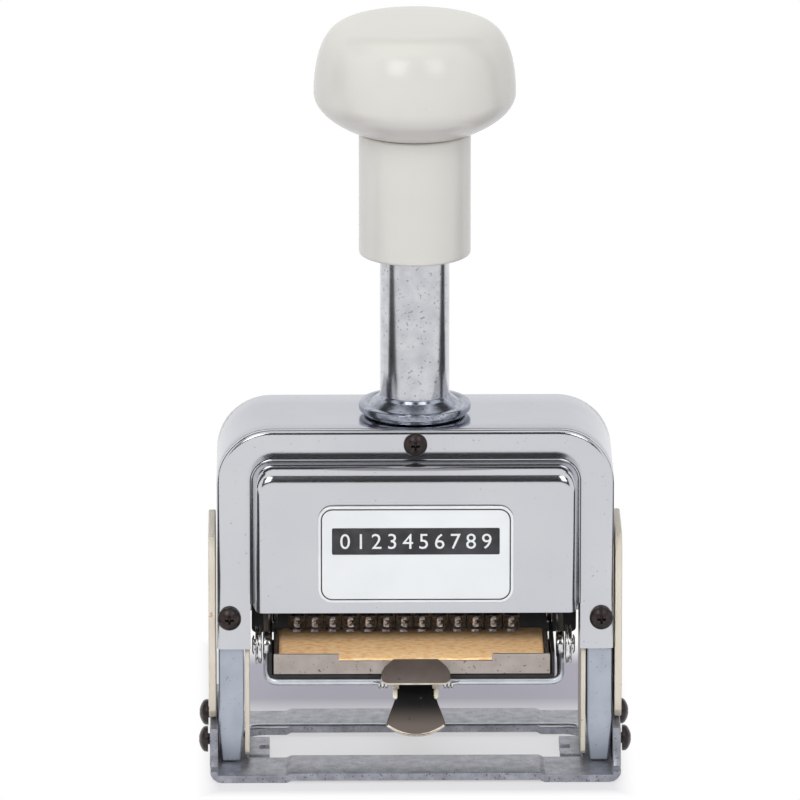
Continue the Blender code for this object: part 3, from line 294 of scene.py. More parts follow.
def mottled(name, dark, light, scale, grain, height, roughness, metallic):
    """Two tones in broad patches, with a fine grain that is felt as bump."""
    look, shader = new_finish(name, roughness, metallic)
    tone = ramp(look, noise(look, scale), ((0.36, dark), (0.64, light)))
    look.node_tree.links.new(tone, shader.inputs["Base Color"])
    bump(look, shader, noise(look, grain), height)
    return look


def add_specks(look, shader, tone, dark, scale, edge):
    """Darken small scattered pits in a colour that is already made."""
    pits = ramp(look, noise(look, scale, 2.0), [(edge - 0.05, (1, 1, 1)), (edge, (0, 0, 0))])
    mixed(look, shader, pits, tone, dark)


def speckled(name, tones, pattern, surface):
    """Two close tones with fine dark pits in them, as on a casting or a worn coat."""
    low, high, dark = tones
    broad, fine, grain, edge = pattern
    height, roughness, metallic = surface
    look, shader = new_finish(name, roughness, metallic)
    tone = ramp(look, noise(look, broad), ((0.3, low), (0.7, high)))
    add_specks(look, shader, tone, dark, fine, edge)
    bump(look, shader, noise(look, grain), height)
    return look


FIBRES = ((0.32, (0.84, 0.46, 0.19)), (0.5, (1.0, 0.67, 0.34)), (0.7, (1.0, 0.82, 0.54)))
FIBRE_STRETCH = (0.6, 1, 1)
# The felt darkens towards the back, where the wheels rest on it.
BACK_DARKENING_RANGE = (-5.5 * MM, 3.0 * MM)
BACK_DARKENING_SHARE = 0.85
BACK_DARK_TONE = (0.05, 0.045, 0.05)
# Painted shade on the release lever, blackest at its root under the upper tab.
FAN_SHADE_RANGE = (17.6 * MM, 12.6 * MM)
FAN_SHADE_TONES = ((0, (0.003, 0.003, 0.003)), (1, (0.095, 0.075, 0.065)))


def inked_felt(name):
    """Tan felt whose fibres show, darker towards the back, where the wheels rest on it."""
    look, shader = new_finish(name, 0.95)
    shader.inputs["Sheen Weight"].default_value = 0.9
    shader.inputs["Sheen Roughness"].default_value = 0.4
    shader.inputs["Sheen Tint"].default_value = (1, 0.6, 0.28, 1)
    tone = ramp(look, noise(look, 1000, 5.0, FIBRE_STRETCH), FIBRES)
    tree = look.node_tree
    back_darkening = ranged(tree, along(tree, "Y"), BACK_DARKENING_RANGE, (0, BACK_DARKENING_SHARE))
    mixed(look, shader, back_darkening, tone, BACK_DARK_TONE)
    bump(look, shader, noise(look, 2600, 4.0, FIBRE_STRETCH), 8e-5)
    return look


def faded_fan(name):
    """Dark paint with painted shade that is blackest at the lever's root, under the upper tab, and
    lighter towards its tip.
    """
    look, shader = new_finish(name, 0.5)
    shader.inputs["Specular IOR Level"].default_value = 0.25
    tree = look.node_tree
    shade_from_tab = ranged(tree, along(tree, "Z"), FAN_SHADE_RANGE, (0, 1))
    tone = ramp(look, shade_from_tab, FAN_SHADE_TONES)
    add_specks(look, shader, tone, (0.04, 0.03, 0.03), 900, 0.33)
    bump(look, shader, noise(look, 1900), 1e-5)
    return look


# Low tone, high tone, pits; broad, fine and grain scales, pits' edge; bump, roughness, metallic
SPECKLED = {
    "chrome": (
        ((0.575, 0.585, 0.62), (0.62, 0.63, 0.66), (0.42, 0.42, 0.45)),
        (40, 1500, 2600, 0.3),
        (2e-6, 0.15, 1),
    ),
    "pressed": (
        ((0.46, 0.47, 0.52), (0.5, 0.51, 0.555), (0.36, 0.36, 0.4)),
        (40, 1500, 2600, 0.3),
        (2e-6, 0.17, 1),
    ),
    "collar": (
        ((0.24, 0.26, 0.31), (0.44, 0.47, 0.54), (0.2, 0.22, 0.26)),
        (420, 1500, 2600, 0.4),
        (1e-5, 0.2, 1),
    ),
    "stem": (
        ((0.5, 0.51, 0.54), (0.64, 0.65, 0.68), (0.3, 0.3, 0.33)),
        (300, 1600, 2600, 0.36),
        (5e-6, 0.18, 1),
    ),
    "zinc": (
        ((0.36, 0.4, 0.46), (0.45, 0.49, 0.56), (0.26, 0.28, 0.31)),
        (160, 1500, 2200, 0.33),
        (1.2e-5, 0.38, 0.8),
    ),
    "base": (
        ((0.23, 0.235, 0.27), (0.39, 0.4, 0.445), (0.12, 0.12, 0.14)),
        (420, 1900, 2400, 0.38),
        (4e-5, 0.36, 0.7),
    ),
    "plastic": (
        ((0.705, 0.695, 0.645), (0.725, 0.715, 0.665), (0.45, 0.43, 0.38)),
        (60, 420, 900, 0.235),
        (1e-6, 0.24, 0),
    ),
    "ivory": (
        ((0.53, 0.48, 0.395), (0.6, 0.56, 0.48), (0.42, 0.25, 0.16)),
        (90, 520, 1500, 0.3),
        (8e-6, 0.42, 0),
    ),
    "tray": (
        ((0.31, 0.27, 0.245), (0.38, 0.34, 0.315), (0.12, 0.09, 0.08)),
        (260, 1100, 1900, 0.36),
        (2e-5, 0.42, 0.5),
    ),
    "tab": (
        ((0.078, 0.06, 0.053), (0.11, 0.088, 0.077), (0.05, 0.05, 0.055)),
        (200, 900, 1900, 0.33),
        (1e-5, 0.42, 0.2),
    ),
}
# Dark tone, light tone; broad and grain scales; bump, roughness, metallic
MOTTLED = {
    "steel": ((0.3, 0.3, 0.31), (0.45, 0.45, 0.46), 400, 1800, 1e-5, 0.35, 1),
    "plated": ((0.6, 0.63, 0.68), (0.7, 0.73, 0.78), 300, 1500, 3e-6, 0.34, 1),
    "bright": ((0.62, 0.62, 0.62), (0.8, 0.8, 0.8), 600, 1500, 5e-6, 0.18, 1),
    "wheel": ((0.008, 0.008, 0.009), (0.1, 0.095, 0.105), 1500, 2400, 2e-5, 0.35, 0.6),
    # The figures' near white, pinkish tone is bright type metal and partly painted highlight for
    # their glints.
    "figure": ((0.4, 0.38, 0.42), (1.0, 0.96, 1.0), 1800, 2400, 2e-5, 0.3, 0.3),
    "black": ((0.012, 0.008, 0.008), (0.035, 0.022, 0.021), 900, 2400, 1e-5, 0.3, 0.4),
    "label": ((0.58, 0.6, 0.605), (0.61, 0.63, 0.635), 80, 900, 1e-6, 0.35, 0),
    "ink": ((0.012, 0.012, 0.014), (0.03, 0.03, 0.034), 300, 900, 1e-6, 0.4, 0),
    "tab_edge": ((0.5, 0.46, 0.36), (0.66, 0.62, 0.52), 500, 1500, 1e-5, 0.4, 0),
    "shade": ((0.006, 0.006, 0.007), (0.014, 0.013, 0.014), 500, 1500, 1e-5, 0.55, 0),
}
FINISH = {name: speckled(name, *row) for name, row in SPECKLED.items()}
FINISH.update({name: mottled(name, *row) for name, row in MOTTLED.items()})
FINISH["felt"] = inked_felt("felt")
FINISH["fan"] = faded_fan("fan")
print("finishes:", ", ".join(FINISH))

# %% Each frame node takes the finish of its slot
SLOT_FINISH = {
    "chrome": "chrome",
    "zinc_casting": "zinc",
    "base_metal": "base",
    "dark_steel": "steel",
    "wheel_steel": "wheel",
    "ivory_plastic": "plastic",
    "ivory_paint": "ivory",
    "black_screw": "black",
    "label_white": "label",
    "felt": "felt",
    "tray_metal": "tray",
    "tab_paint": "tab",
}
slot_of = {row["node"]: row["material_slot"] for row in frame["record"]["subparts"]}
for node_name, node in frame["nodes"].items():
    node.data.materials.clear()
    node.data.materials.append(FINISH[SLOT_FINISH[slot_of[node_name]]])

# %% [markdown]
# ## The floor
# A round table top is stage, not part of the machine. Under the machine it is a matt, faintly
# lilac sheet of painted shadow that also takes the rendered soft shadow. It glows a little, less
# so behind the machine, where the painted shadow gets darker. Just outside the base it fades into
# plain white for the rays that show it, so the background is white without any more light on the
# machine.

# %% The floor
FLOOR_RADIUS = 3.0
FLOOR_DROP = 0.05 * MM
SHEET_HALF_WIDTH = (36 * MM, 47 * MM)
SHEET_FRONT = (-32 * MM, -20 * MM)
SHEET_BACK = (58 * MM, 86 * MM)
# The sheet's lilac tones, and its glow that fades behind the machine, are painted shadow.
PAINTED_SHADOW_DEEPENS = (26 * MM, 40 * MM)
SHADOW_SHEET_TONE = (0.6, 0.58, 0.62)
SHADOW_SHEET_TONE_BEHIND = (0.36, 0.34, 0.43)
FLOOR_SHINE = 0.15
SHEET_GLOW = (0.5, 0.17)

bm = bmesh.new()
bmesh.ops.create_circle(bm, cap_ends=True, segments=64, radius=FLOOR_RADIUS)
floor_mesh = bpy.data.meshes.new("floor")
bm.to_mesh(floor_mesh)
bm.free()
floor = bpy.data.objects.new("floor", floor_mesh)
floor.location.z = -FLOOR_DROP
bpy.context.scene.collection.objects.link(floor)

floor_look, floor_shader = new_finish("floor", 0.9)
floor_shader.inputs["Specular IOR Level"].default_value = FLOOR_SHINE
tree = floor_look.node_tree
nodes, links = tree.nodes, tree.links
# Painted shadow: the sheet darkens and glows less towards the back.
painted_shadow_depth = ranged(tree, along(tree, "Y"), PAINTED_SHADOW_DEEPENS, (0, 1), "LINEAR")
tone = ramp(floor_look, painted_shadow_depth, ((0, SHADOW_SHEET_TONE), (1, SHADOW_SHEET_TONE_BEHIND)))
links.new(tone, floor_shader.inputs["Base Color"])
across = nodes.new("ShaderNodeMath")
across.operation = "ABSOLUTE"
links.new(along(tree, "X"), across.inputs[0])
bare = ranged(tree, along(tree, "Y"), PAINTED_SHADOW_DEEPENS, SHEET_GLOW, "LINEAR")
for source, edge, shares in (
    (across.outputs["Value"], SHEET_HALF_WIDTH, (0, 1)),
    (along(tree, "Y"), SHEET_BACK, (0, 1)),
    (along(tree, "Y"), SHEET_FRONT, (1, 0)),
):
    most = nodes.new("ShaderNodeMath")
    most.operation = "MAXIMUM"
    links.new(ranged(tree, source, edge, shares), most.inputs[0])
    links.new(bare, most.inputs[1])
    bare = most.outputs["Value"]
white = nodes.new("ShaderNodeMath")
white.operation = "MULTIPLY"
links.new(bare, white.inputs[0])
links.new(shown_rays(nodes, links), white.inputs[1])
glow = nodes.new("ShaderNodeEmission")
blend = nodes.new("ShaderNodeMixShader")
links.new(white.outputs["Value"], blend.inputs["Fac"])
links.new(floor_shader.outputs["BSDF"], blend.inputs[1])
links.new(glow.outputs["Emission"], blend.inputs[2])
links.new(blend.outputs["Shader"], nodes["Material Output"].inputs["Surface"])
floor.data.materials.append(floor_look)
print("floor", 2 * FLOOR_RADIUS, "m across")

# %% [markdown]
# ## Helpers for making pieces
# A finished piece is a mesh with its place in its vertices, riding on a body of the frame and
# standing for the node it replaces. Turned pieces are a profile that is spun round. Flat ones
# are an outline that is filled, extruded and given rounded rims, because a real edge is never
# knife sharp and it is the rounding that catches the light.

# %% A finished piece from a bmesh
SHARP = math.radians(38)
WELD = 0.001 * MM


def bmesh_object(name, bm):
    """A bmesh as an object of its own."""
    mesh = bpy.data.meshes.new(name)
    bm.to_mesh(mesh)
    bm.free()
    made = bpy.data.objects.new(name, mesh)
    bpy.context.scene.collection.objects.link(made)
    return made


def dressed(piece, finish, like):
    """Finish a piece in place, riding and standing in for the frame node it is like."""
    piece.data.materials.clear()
    piece.data.materials.append(FINISH[finish])
    piece.data.shade_smooth()
    piece.data.set_sharp_from_angle(angle=SHARP)
    body = next(b for b, row in frame["record"]["behaviour"]["bodies"].items() if like in row)
    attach(piece, body)
    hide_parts(like)
    return piece


def finished(name, bm, finish, like):
    """Turn a bmesh into a piece that replaces the frame node it is like."""
    return dressed(bmesh_object(name, bm), finish, like)


def curve_mesh(name, curve):
    """A curve or a text as a bmesh."""
    holder = bpy.data.objects.new(name, curve)
    bpy.context.scene.collection.objects.link(holder)
    bpy.context.view_layer.update()
    shapes = bpy.context.evaluated_depsgraph_get()
    bm = bmesh.new()
    bm.from_mesh(holder.evaluated_get(shapes).to_mesh())
    bpy.data.objects.remove(holder)
    return bm


def box_of(node):
    """A node's low and high corners as vectors."""
    low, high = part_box(node)
    return Vector(low), Vector(high)


# %% Turned shapes
NEARLY_STRAIGHT = math.radians(160)


def arc(centre, radius, start, end, count):
    """Points on an arc in the plane, angles in degrees."""
    angles = [math.radians(start + (end - start) * i / (count - 1)) for i in range(count)]
    return [(centre[0] + radius * math.cos(a), centre[1] + radius * math.sin(a)) for a in angles]


def bend_points(start, corner, end, count):
    """Points on the small curve that replaces a corner."""
    for step in range(count + 1):
        t = step / count
        yield start * (1 - t) ** 2 + corner * 2 * t * (1 - t) + end * t * t


def softened(profile, radius, count=4):
    """Replace the corners of a closed profile by small arcs."""
    made = []
    for i, point in enumerate(profile):
        here = Vector(point)
        before = Vector(profile[i - 1]) - here
        after = Vector(profile[(i + 1) % len(profile)]) - here
        turn = before.angle(after)
        if turn > NEARLY_STRAIGHT:
            made.append(tuple(here))
            continue
        reach = min(radius / math.tan(turn / 2), before.length * 0.45, after.length * 0.45)
        start = here + before.normalized() * reach
        end = here + after.normalized() * reach
        made += [tuple(place) for place in bend_points(start, here, end, count)]
    return made


def spun(profile, steps, place=Matrix.Identity(4), closed=True):
    """Spin a profile of (radius, height) points round Z, then place it."""
    bm = bmesh.new()
    verts = [bm.verts.new((radius, 0, height)) for radius, height in profile]
    edges = [bm.edges.new(pair) for pair in zip(verts, verts[1:])]
    if closed:
        edges.append(bm.edges.new((verts[-1], verts[0])))
    bmesh.ops.spin(
        bm,
        geom=verts + edges,
        cent=(0, 0, 0),
        axis=(0, 0, 1),
        angle=math.tau,
        steps=steps,
        use_merge=True,
    )
    bmesh.ops.remove_doubles(bm, verts=bm.verts, dist=WELD)
    bmesh.ops.recalc_face_normals(bm, faces=bm.faces)
    bmesh.ops.transform(bm, matrix=place, verts=bm.verts)
    return bm


# %% Flat shapes
TURN_TO_FRONT = Matrix.Rotation(math.pi / 2, 4, "X")
TURN_TO_SIDE = Matrix.Rotation(math.pi / 2, 4, "Z") @ TURN_TO_FRONT


def slab(outline, thickness, rim, place, segments=3):
    """Fill an outline, extrude it and round its rims; its first face lies in the plane."""
    bm = bmesh.new()
    verts = [bm.verts.new((x, y, 0)) for x, y in outline]
    face = bm.faces.new(verts)
    out = bmesh.ops.extrude_face_region(bm, geom=[face])
    moved = [v for v in out["geom"] if isinstance(v, bmesh.types.BMVert)]
    bmesh.ops.translate(bm, vec=(0, 0, thickness), verts=moved)
    bmesh.ops.recalc_face_normals(bm, faces=bm.faces)
    if rim > 0:
        rims = [e for e in bm.edges if e.calc_face_angle(0) > SHARP]
        bmesh.ops.bevel(
            bm,
            geom=rims,
            offset=rim,
            offset_type="OFFSET",
            affect="EDGES",
            segments=segments,
            profile=0.5,
            material=-1,
            clamp_overlap=True,
        )
    bmesh.ops.transform(bm, matrix=place, verts=bm.verts)
    return bm


def rounded_box(low, high, radius, count=6):
    """The outline of a rectangle with round corners."""
    (x0, y0), (x1, y1) = low, high
    made = arc((x1 - radius, y0 + radius), radius, -90, 0, count)
    made += arc((x1 - radius, y1 - radius), radius, 0, 90, count)
    made += arc((x0 + radius, y1 - radius), radius, 90, 180, count)
    made += arc((x0 + radius, y0 + radius), radius, 180, 270, count)
    return made


# %% [markdown]
# ## The knob
# A moulded mushroom cap over a straight sleeve, with a fine seam between them. The cap has a
# nearly flat top, sides that swell outward down to a low widest line, and a quick roll inward
# below it. Two powers of sines and cosines give that profile, one above the widest line and one
# below, and it is spun with enough steps that the highlights stay round.

# %% The knob's cap and sleeve
KNOB_STEPS = 128
KNOB_POINTS = 22
KNOB_FLATNESS_SHARE = 0.3
KNOB_TAPER_SHARE = 1.68
KNOB_CROWN_POWER = 1.8
KNOB_WIDEST = 145 * MM
KNOB_BORE = 7.7 * MM
CAP_CEILING = 151.7 * MM

low, high = box_of("knob_cap")
knob_radius = (high.x - low.x) / 2
sleeve_low, sleeve_high = box_of("knob_sleeve")
sleeve_radius = (sleeve_high.x - sleeve_low.x) / 2
stem_low, stem_high = box_of("stem_tube")

profile = []
for i in range(KNOB_POINTS + 1):
    share = i / KNOB_POINTS
    angle = math.pi / 2 * share**KNOB_CROWN_POWER
    across = knob_radius * math.sin(angle) ** KNOB_FLATNESS_SHARE if i else 0
    profile.append((across, KNOB_WIDEST + (high.z - KNOB_WIDEST) * math.cos(angle)))
for i in range(1, KNOB_POINTS + 1):
    angle = math.pi / 2 * i / KNOB_POINTS
    across = sleeve_radius + (knob_radius - sleeve_radius) * math.cos(angle) ** KNOB_TAPER_SHARE
    profile.append((across, KNOB_WIDEST - (KNOB_WIDEST - low.z) * math.sin(angle)))
profile += [(KNOB_BORE, low.z), (KNOB_BORE, CAP_CEILING), (0, CAP_CEILING)]
finished("cap_of_knob", spun(profile, KNOB_STEPS, closed=False), "plastic", "knob_cap")

SLEEVE_EDGE = 0.7 * MM
profile = [
    (sleeve_radius, sleeve_high.z),
    (sleeve_radius, sleeve_low.z),
    (KNOB_BORE, sleeve_low.z),
    (KNOB_BORE, sleeve_high.z),
]
profile = softened(profile, SLEEVE_EDGE)
finished("sleeve_of_knob", spun(profile, KNOB_STEPS), "plastic", "knob_sleeve")
print("knob", round(2 * knob_radius / MM, 1), "mm across")

# %% [markdown]
# ## The stem
# The plated tube stands in a duller, flared collar with a small foot ring. Each is spun from a
# profile of its own, with every corner softened by a small arc.

# %% The stem's tube and collar
STEM_STEPS = 96
STEM_EDGE = 0.35 * MM
TUBE_RADIUS = 7.3 * MM
TUBE_WALL = 2 * MM

collar_radius = (stem_high.x - stem_low.x) / 2
foot = stem_low.z
bore = TUBE_RADIUS - TUBE_WALL
profile = [(TUBE_RADIUS, stem_high.z), (TUBE_RADIUS, foot), (bore, foot), (bore, stem_high.z)]
finished("tube_of_stem", spun(softened(profile, STEM_EDGE), STEM_STEPS), "stem", "stem_tube")
profile = [
    (TUBE_RADIUS - 0.5 * MM, foot + 4.4 * MM),
    (TUBE_RADIUS + 0.1 * MM, foot + 4.4 * MM),
    (TUBE_RADIUS + 0.5 * MM, foot + 3.6 * MM),
    (collar_radius - 2.4 * MM, foot + 2.5 * MM),
    (collar_radius - 1.9 * MM, foot + 2.0 * MM),
    (collar_radius - 1.2 * MM, foot + 2.4 * MM),
    (collar_radius, foot + 2.3 * MM),
    (collar_radius, foot + 0.8 * MM),
    (collar_radius - 0.9 * MM, foot + 0.8 * MM),
    (collar_radius - 0.9 * MM, foot),
    (TUBE_RADIUS - 0.5 * MM, foot),
]
finished("collar_of_stem", spun(softened(profile, STEM_EDGE), STEM_STEPS), "collar", "stem_tube")

# %% [markdown]
# ## Pressed sheet: the housing and its cover
# Both are sheet metal, so each is a skin that gets its thickness from a Solidify modifier and its
# small rounded rims from a Bevel modifier. The skin itself is a row of arch shaped lines bridged
# one to the next. The arches step inward and forward by small amounts, and so the
# fillet at the hood's root, its sloping sides and its rounded rim all come from one list of steps.
# The housing's roof has a round hole that the plunger's rod and its spring pass through. Only a
# small square round the hole is cut out and filled anew, so the roof around it stays one face.


# %% Arches bridged into a skin
def arch(half, bottom, top, radius, depth, count=14):
    """An upside down U at a depth, as points from the left foot to the right foot."""
    made = [(-half, depth, bottom)]
    made += [(x, depth, z) for x, z in arc((-half + radius, top - radius), radius, 180, 90, count)]
    made += [(x, depth, z) for x, z in arc((half - radius, top - radius), radius, 90, 0, count)]
    made.append((half, depth, bottom))
    return made


def bridged(lines):
    """One skin through lines that have the same number of points."""
    bm = bmesh.new()
    before = []
    for line in lines:
        verts = [bm.verts.new(point) for point in line]
        edges = [bm.edges.new(pair) for pair in zip(verts, verts[1:])]
        if before:
            bmesh.ops.bridge_loops(bm, edges=before + edges)
        before = edges
    return bm, before


def turned_out(bm, inside):
    """Make an open skin's faces point away from a place inside it."""
    bmesh.ops.recalc_face_normals(bm, faces=bm.faces)
    outward = sum(f.normal.dot(f.calc_center_median() - inside) * f.calc_area() for f in bm.faces)
    if outward < 0:
        bmesh.ops.reverse_faces(bm, faces=bm.faces)


def add_wall(piece, thickness):
    """Give a skin its sheet's thickness, inward from the faces it has."""
    wall = piece.modifiers.new("wall", "SOLIDIFY")
    wall.thickness = thickness
    wall.offset = -1
    wall.use_even_offset = True


def add_rims(piece, width, segments=3, angle=40):
    """Round the edges that are sharper than an angle in degrees."""
    rims = piece.modifiers.new("rims", "BEVEL")
    rims.width = width
    rims.segments = segments
    rims.limit_method = "ANGLE"
    rims.angle_limit = math.radians(angle)


# %% The housing
INSIDE = Vector((0, 0, 50 * MM))
HOUSING_RADIUS = 11.6 * MM
HOUSING_WALL = 1.0 * MM
HOUSING_RIM = 1.2 * MM
ROD_HOLE = 5.2 * MM
HOLE_STEPS = 48
HOLE_PATCH = 8 * MM

low, high = box_of("housing_shell")
half_housing = high.x
depths = [(0, low.y)]
rounding = arc((0, 0), HOUSING_RIM, 0, 90, 5)
depths += [(HOUSING_RIM - r, high.y - HOUSING_RIM + d) for r, d in rounding]
lines = [
    arch(half_housing - inset, low.z, high.z - inset, HOUSING_RADIUS - inset, y)
    for inset, y in depths
]
bm, last = bridged(lines)
bmesh.ops.edgeloop_fill(bm, edges=last + [bm.edges.new((last[0].verts[0], last[-1].verts[1]))])
for direction in ((1, 0, 0), (0, 1, 0)):
    for side in (-1, 1):
        at = Vector(direction) * side * HOLE_PATCH
        everything = bm.verts[:] + bm.edges[:] + bm.faces[:]
        bmesh.ops.bisect_plane(bm, geom=everything, plane_co=at, plane_no=direction)
roof = min(bm.faces, key=lambda f: (f.calc_center_median() - Vector((0, 0, high.z))).length)
around = roof.edges[:]
bmesh.ops.delete(bm, geom=[roof], context="FACES_ONLY")
rim = [bm.verts.new((x, y, high.z)) for x, y in arc((0, 0), ROD_HOLE, 0, 360, HOLE_STEPS)[:-1]]
around += [bm.edges.new((a, b)) for a, b in zip(rim, rim[1:] + rim[:1])]
bmesh.ops.triangle_fill(bm, use_beauty=True, edges=around)
turned_out(bm, INSIDE)
housing = finished("housing", bm, "pressed", "housing_shell")
add_wall(housing, HOUSING_WALL)
add_rims(housing, 0.25 * MM)
print("housing", len(housing.data.polygons), "faces")

# %% The cover's plate
COVER_RIM = 1.0 * MM
COVER_SHEET = 1.2 * MM
HOOD_HALF = 34.35 * MM
HOOD_TOP = 68.6 * MM
HOOD_CORNER = 4.6 * MM
HOOD_BOTTOM = 37.2 * MM
ROOT_FILLET = 0.4 * MM

cover_low, cover_high = box_of("front_cover")
plate_front = -13.7 * MM
steps = [(0, cover_high.y)]
rounding = arc((0, 0), COVER_RIM, 0, 90, 5)
steps += [(COVER_RIM - r, plate_front + COVER_RIM - d) for r, d in rounding]
lines = [
    arch(half_housing - inset, cover_low.z, cover_high.z - inset, HOUSING_RADIUS - inset, y)
    for inset, y in steps
]
root_half = HOOD_HALF + ROOT_FILLET
root_top = HOOD_TOP + ROOT_FILLET
lines.append(arch(root_half, cover_low.z, root_top, HOOD_CORNER + ROOT_FILLET, plate_front))
bm, last = bridged(lines)
turned_out(bm, INSIDE)
plate = finished("plate_of_cover", bm, "chrome", "front_cover")
add_wall(plate, COVER_SHEET)
add_rims(plate, 0.2 * MM)

# %% The cover's hood
HOOD_DROP = 3.8 * MM
HOOD_SLOPE = 1.0 * MM
HOOD_SIDE_RIM = 1.3 * MM

face = cover_low.y
reach = plate_front - face
stations = [(root_half, root_top, HOOD_CORNER + ROOT_FILLET, plate_front)]
for dx, dy in arc((0, 0), ROOT_FILLET, 270, 180, 4)[1:]:
    out = ROOT_FILLET + dx
    depth = plate_front - ROOT_FILLET - dy
    stations.append((HOOD_HALF + out, HOOD_TOP + out, HOOD_CORNER + out, depth))
depths = [reach - HOOD_DROP + HOOD_DROP * math.sin(math.radians(a)) for a in range(0, 75, 9)]
depths += [reach - HOOD_SIDE_RIM * (1 - math.sin(math.radians(a))) for a in range(20, 91, 10)]
for depth in sorted(depths):
    over = max(0, (depth - (reach - HOOD_DROP)) / HOOD_DROP)
    drop = HOOD_DROP * (1 - math.sqrt(max(0, 1 - over * over)))
    over = max(0, (depth - (reach - HOOD_SIDE_RIM)) / HOOD_SIDE_RIM)
    side = HOOD_SIDE_RIM * (1 - math.sqrt(max(0, 1 - over * over)))
    side += HOOD_SLOPE * depth / reach
    stations.append((HOOD_HALF - side, HOOD_TOP - drop, HOOD_CORNER - side, plate_front - depth))
lines = [arch(half, HOOD_BOTTOM, top, radius, y) for half, top, radius, y in stations]
bm, last = bridged(lines)
bmesh.ops.edgeloop_fill(bm, edges=last + [bm.edges.new((last[0].verts[0], last[-1].verts[1]))])
turned_out(bm, INSIDE)
hood = finished("hood_of_cover", bm, "chrome", "front_cover")
add_wall(hood, COVER_SHEET)
add_rims(hood, 0.4 * MM, 4)
print("hood", round(reach / MM, 1), "mm deep")

# %% [markdown]
# ## The name plate
# A thin white plate stands on the hood, with round corners, a fine dark border and a dark band.
# The real one is printed. Here the border and the band are thin slabs let into its face, and the
# band only carries the ten figures that such a machine prints. Text is made a mesh
# before it is put in place.

# %% The name plate and its print
PLATE_CORNER = 3.0 * MM
BORDER_INSET = 0.55 * MM
BORDER_WIDTH = 0.28 * MM
PRINT_RISE = 0.04 * MM
BAND_HALF = 17.6 * MM
BAND_LOW = 50.2 * MM
BAND_HIGH = 56.0 * MM
FIGURE_HEIGHT = 4.6 * MM


def at_front(depth):
    """Stands an XY drawing up to face the front, with its back at a depth."""
    return Matrix.Translation((0, depth, 0)) @ TURN_TO_FRONT


low, high = box_of("name_plate")
corners = ((low.x, low.z), (high.x, high.z))
bm = slab(rounded_box(*corners, PLATE_CORNER, 8), high.y - low.y, 0.12 * MM, at_front(high.y))
finished("name_plate_face", bm, "label", "name_plate")

outer = rounded_box(
    (low.x + BORDER_INSET, low.z + BORDER_INSET),
    (high.x - BORDER_INSET, high.z - BORDER_INSET),
    PLATE_CORNER - BORDER_INSET,
    8,
)
bm = slab(outer, PRINT_RISE, 0, at_front(low.y + PRINT_RISE / 2))
fronts = [f for f in bm.faces if f.normal.y < -0.9]
bmesh.ops.inset_region(bm, faces=fronts, thickness=BORDER_WIDTH, use_even_offset=True)
bmesh.ops.delete(bm, geom=fronts, context="FACES")
backs = [f for f in bm.faces if f.normal.y > 0.9]
bmesh.ops.delete(bm, geom=backs, context="FACES")
finished("name_plate_border", bm, "ink", "name_plate")

bm = slab(
    rounded_box((-BAND_HALF, BAND_LOW), (BAND_HALF, BAND_HIGH), 0.3 * MM, 3),
    PRINT_RISE,
    0,
    at_front(low.y + PRINT_RISE / 2),
)
finished("name_plate_band", bm, "ink", "name_plate")


def figures(text, height, gap=1.0, thickness=0.0):
    """A line of figures as a bmesh, centred on the origin in the XY plane."""
    curve = bpy.data.curves.new(text, "FONT")
    curve.body = text
    curve.size = height / 0.7
    curve.space_character = gap
    curve.align_x = "CENTER"
    curve.align_y = "CENTER"
    curve.extrude = thickness / 2
    curve.resolution_u = 3
    bm = curve_mesh(text, curve)
    places = [v.co for v in bm.verts]
    middle = (Vector(map(min, *places)) + Vector(map(max, *places))) / 2
    bmesh.ops.translate(bm, vec=-middle, verts=bm.verts)
    return bm


bm = figures("0 1 2 3 4 5 6 7 8 9", FIGURE_HEIGHT * 0.72, 0.92)
place = Matrix.Translation((0, low.y - PRINT_RISE, (BAND_LOW + BAND_HIGH) / 2)) @ TURN_TO_FRONT
bmesh.ops.transform(bm, matrix=place, verts=bm.verts)
finished("name_plate_figures", bm, "label", "name_plate")
print("name plate", round((high.x - low.x) / MM), "mm wide")

# %% [markdown]
# ## Screws
# All seven screws are blackened pan heads with a cross recess. The head is spun from a domed
# profile, and the recess is cut by two tapered bars, so it gets real walls that stay dark.

# %% A pan head screw
SCREW_STEPS = 48
RECESS_DEPTH_SHARE = 0.55
RECESS_REACH_SHARE = 0.56
RECESS_HALF_WIDTH_SHARE = 0.125
RECESS_TAPER = (0.45, 1.6)
HEAD_HEIGHT_SHARE = 0.7
DOME_SHARE = 1.45
DOME_ANGLES = (84, 52)
HEAD_SIDE_SHARES = ((0.98, 0.62), (1, 0.8), (1, 1))
SHANK_RADIUS = 1.2 * MM


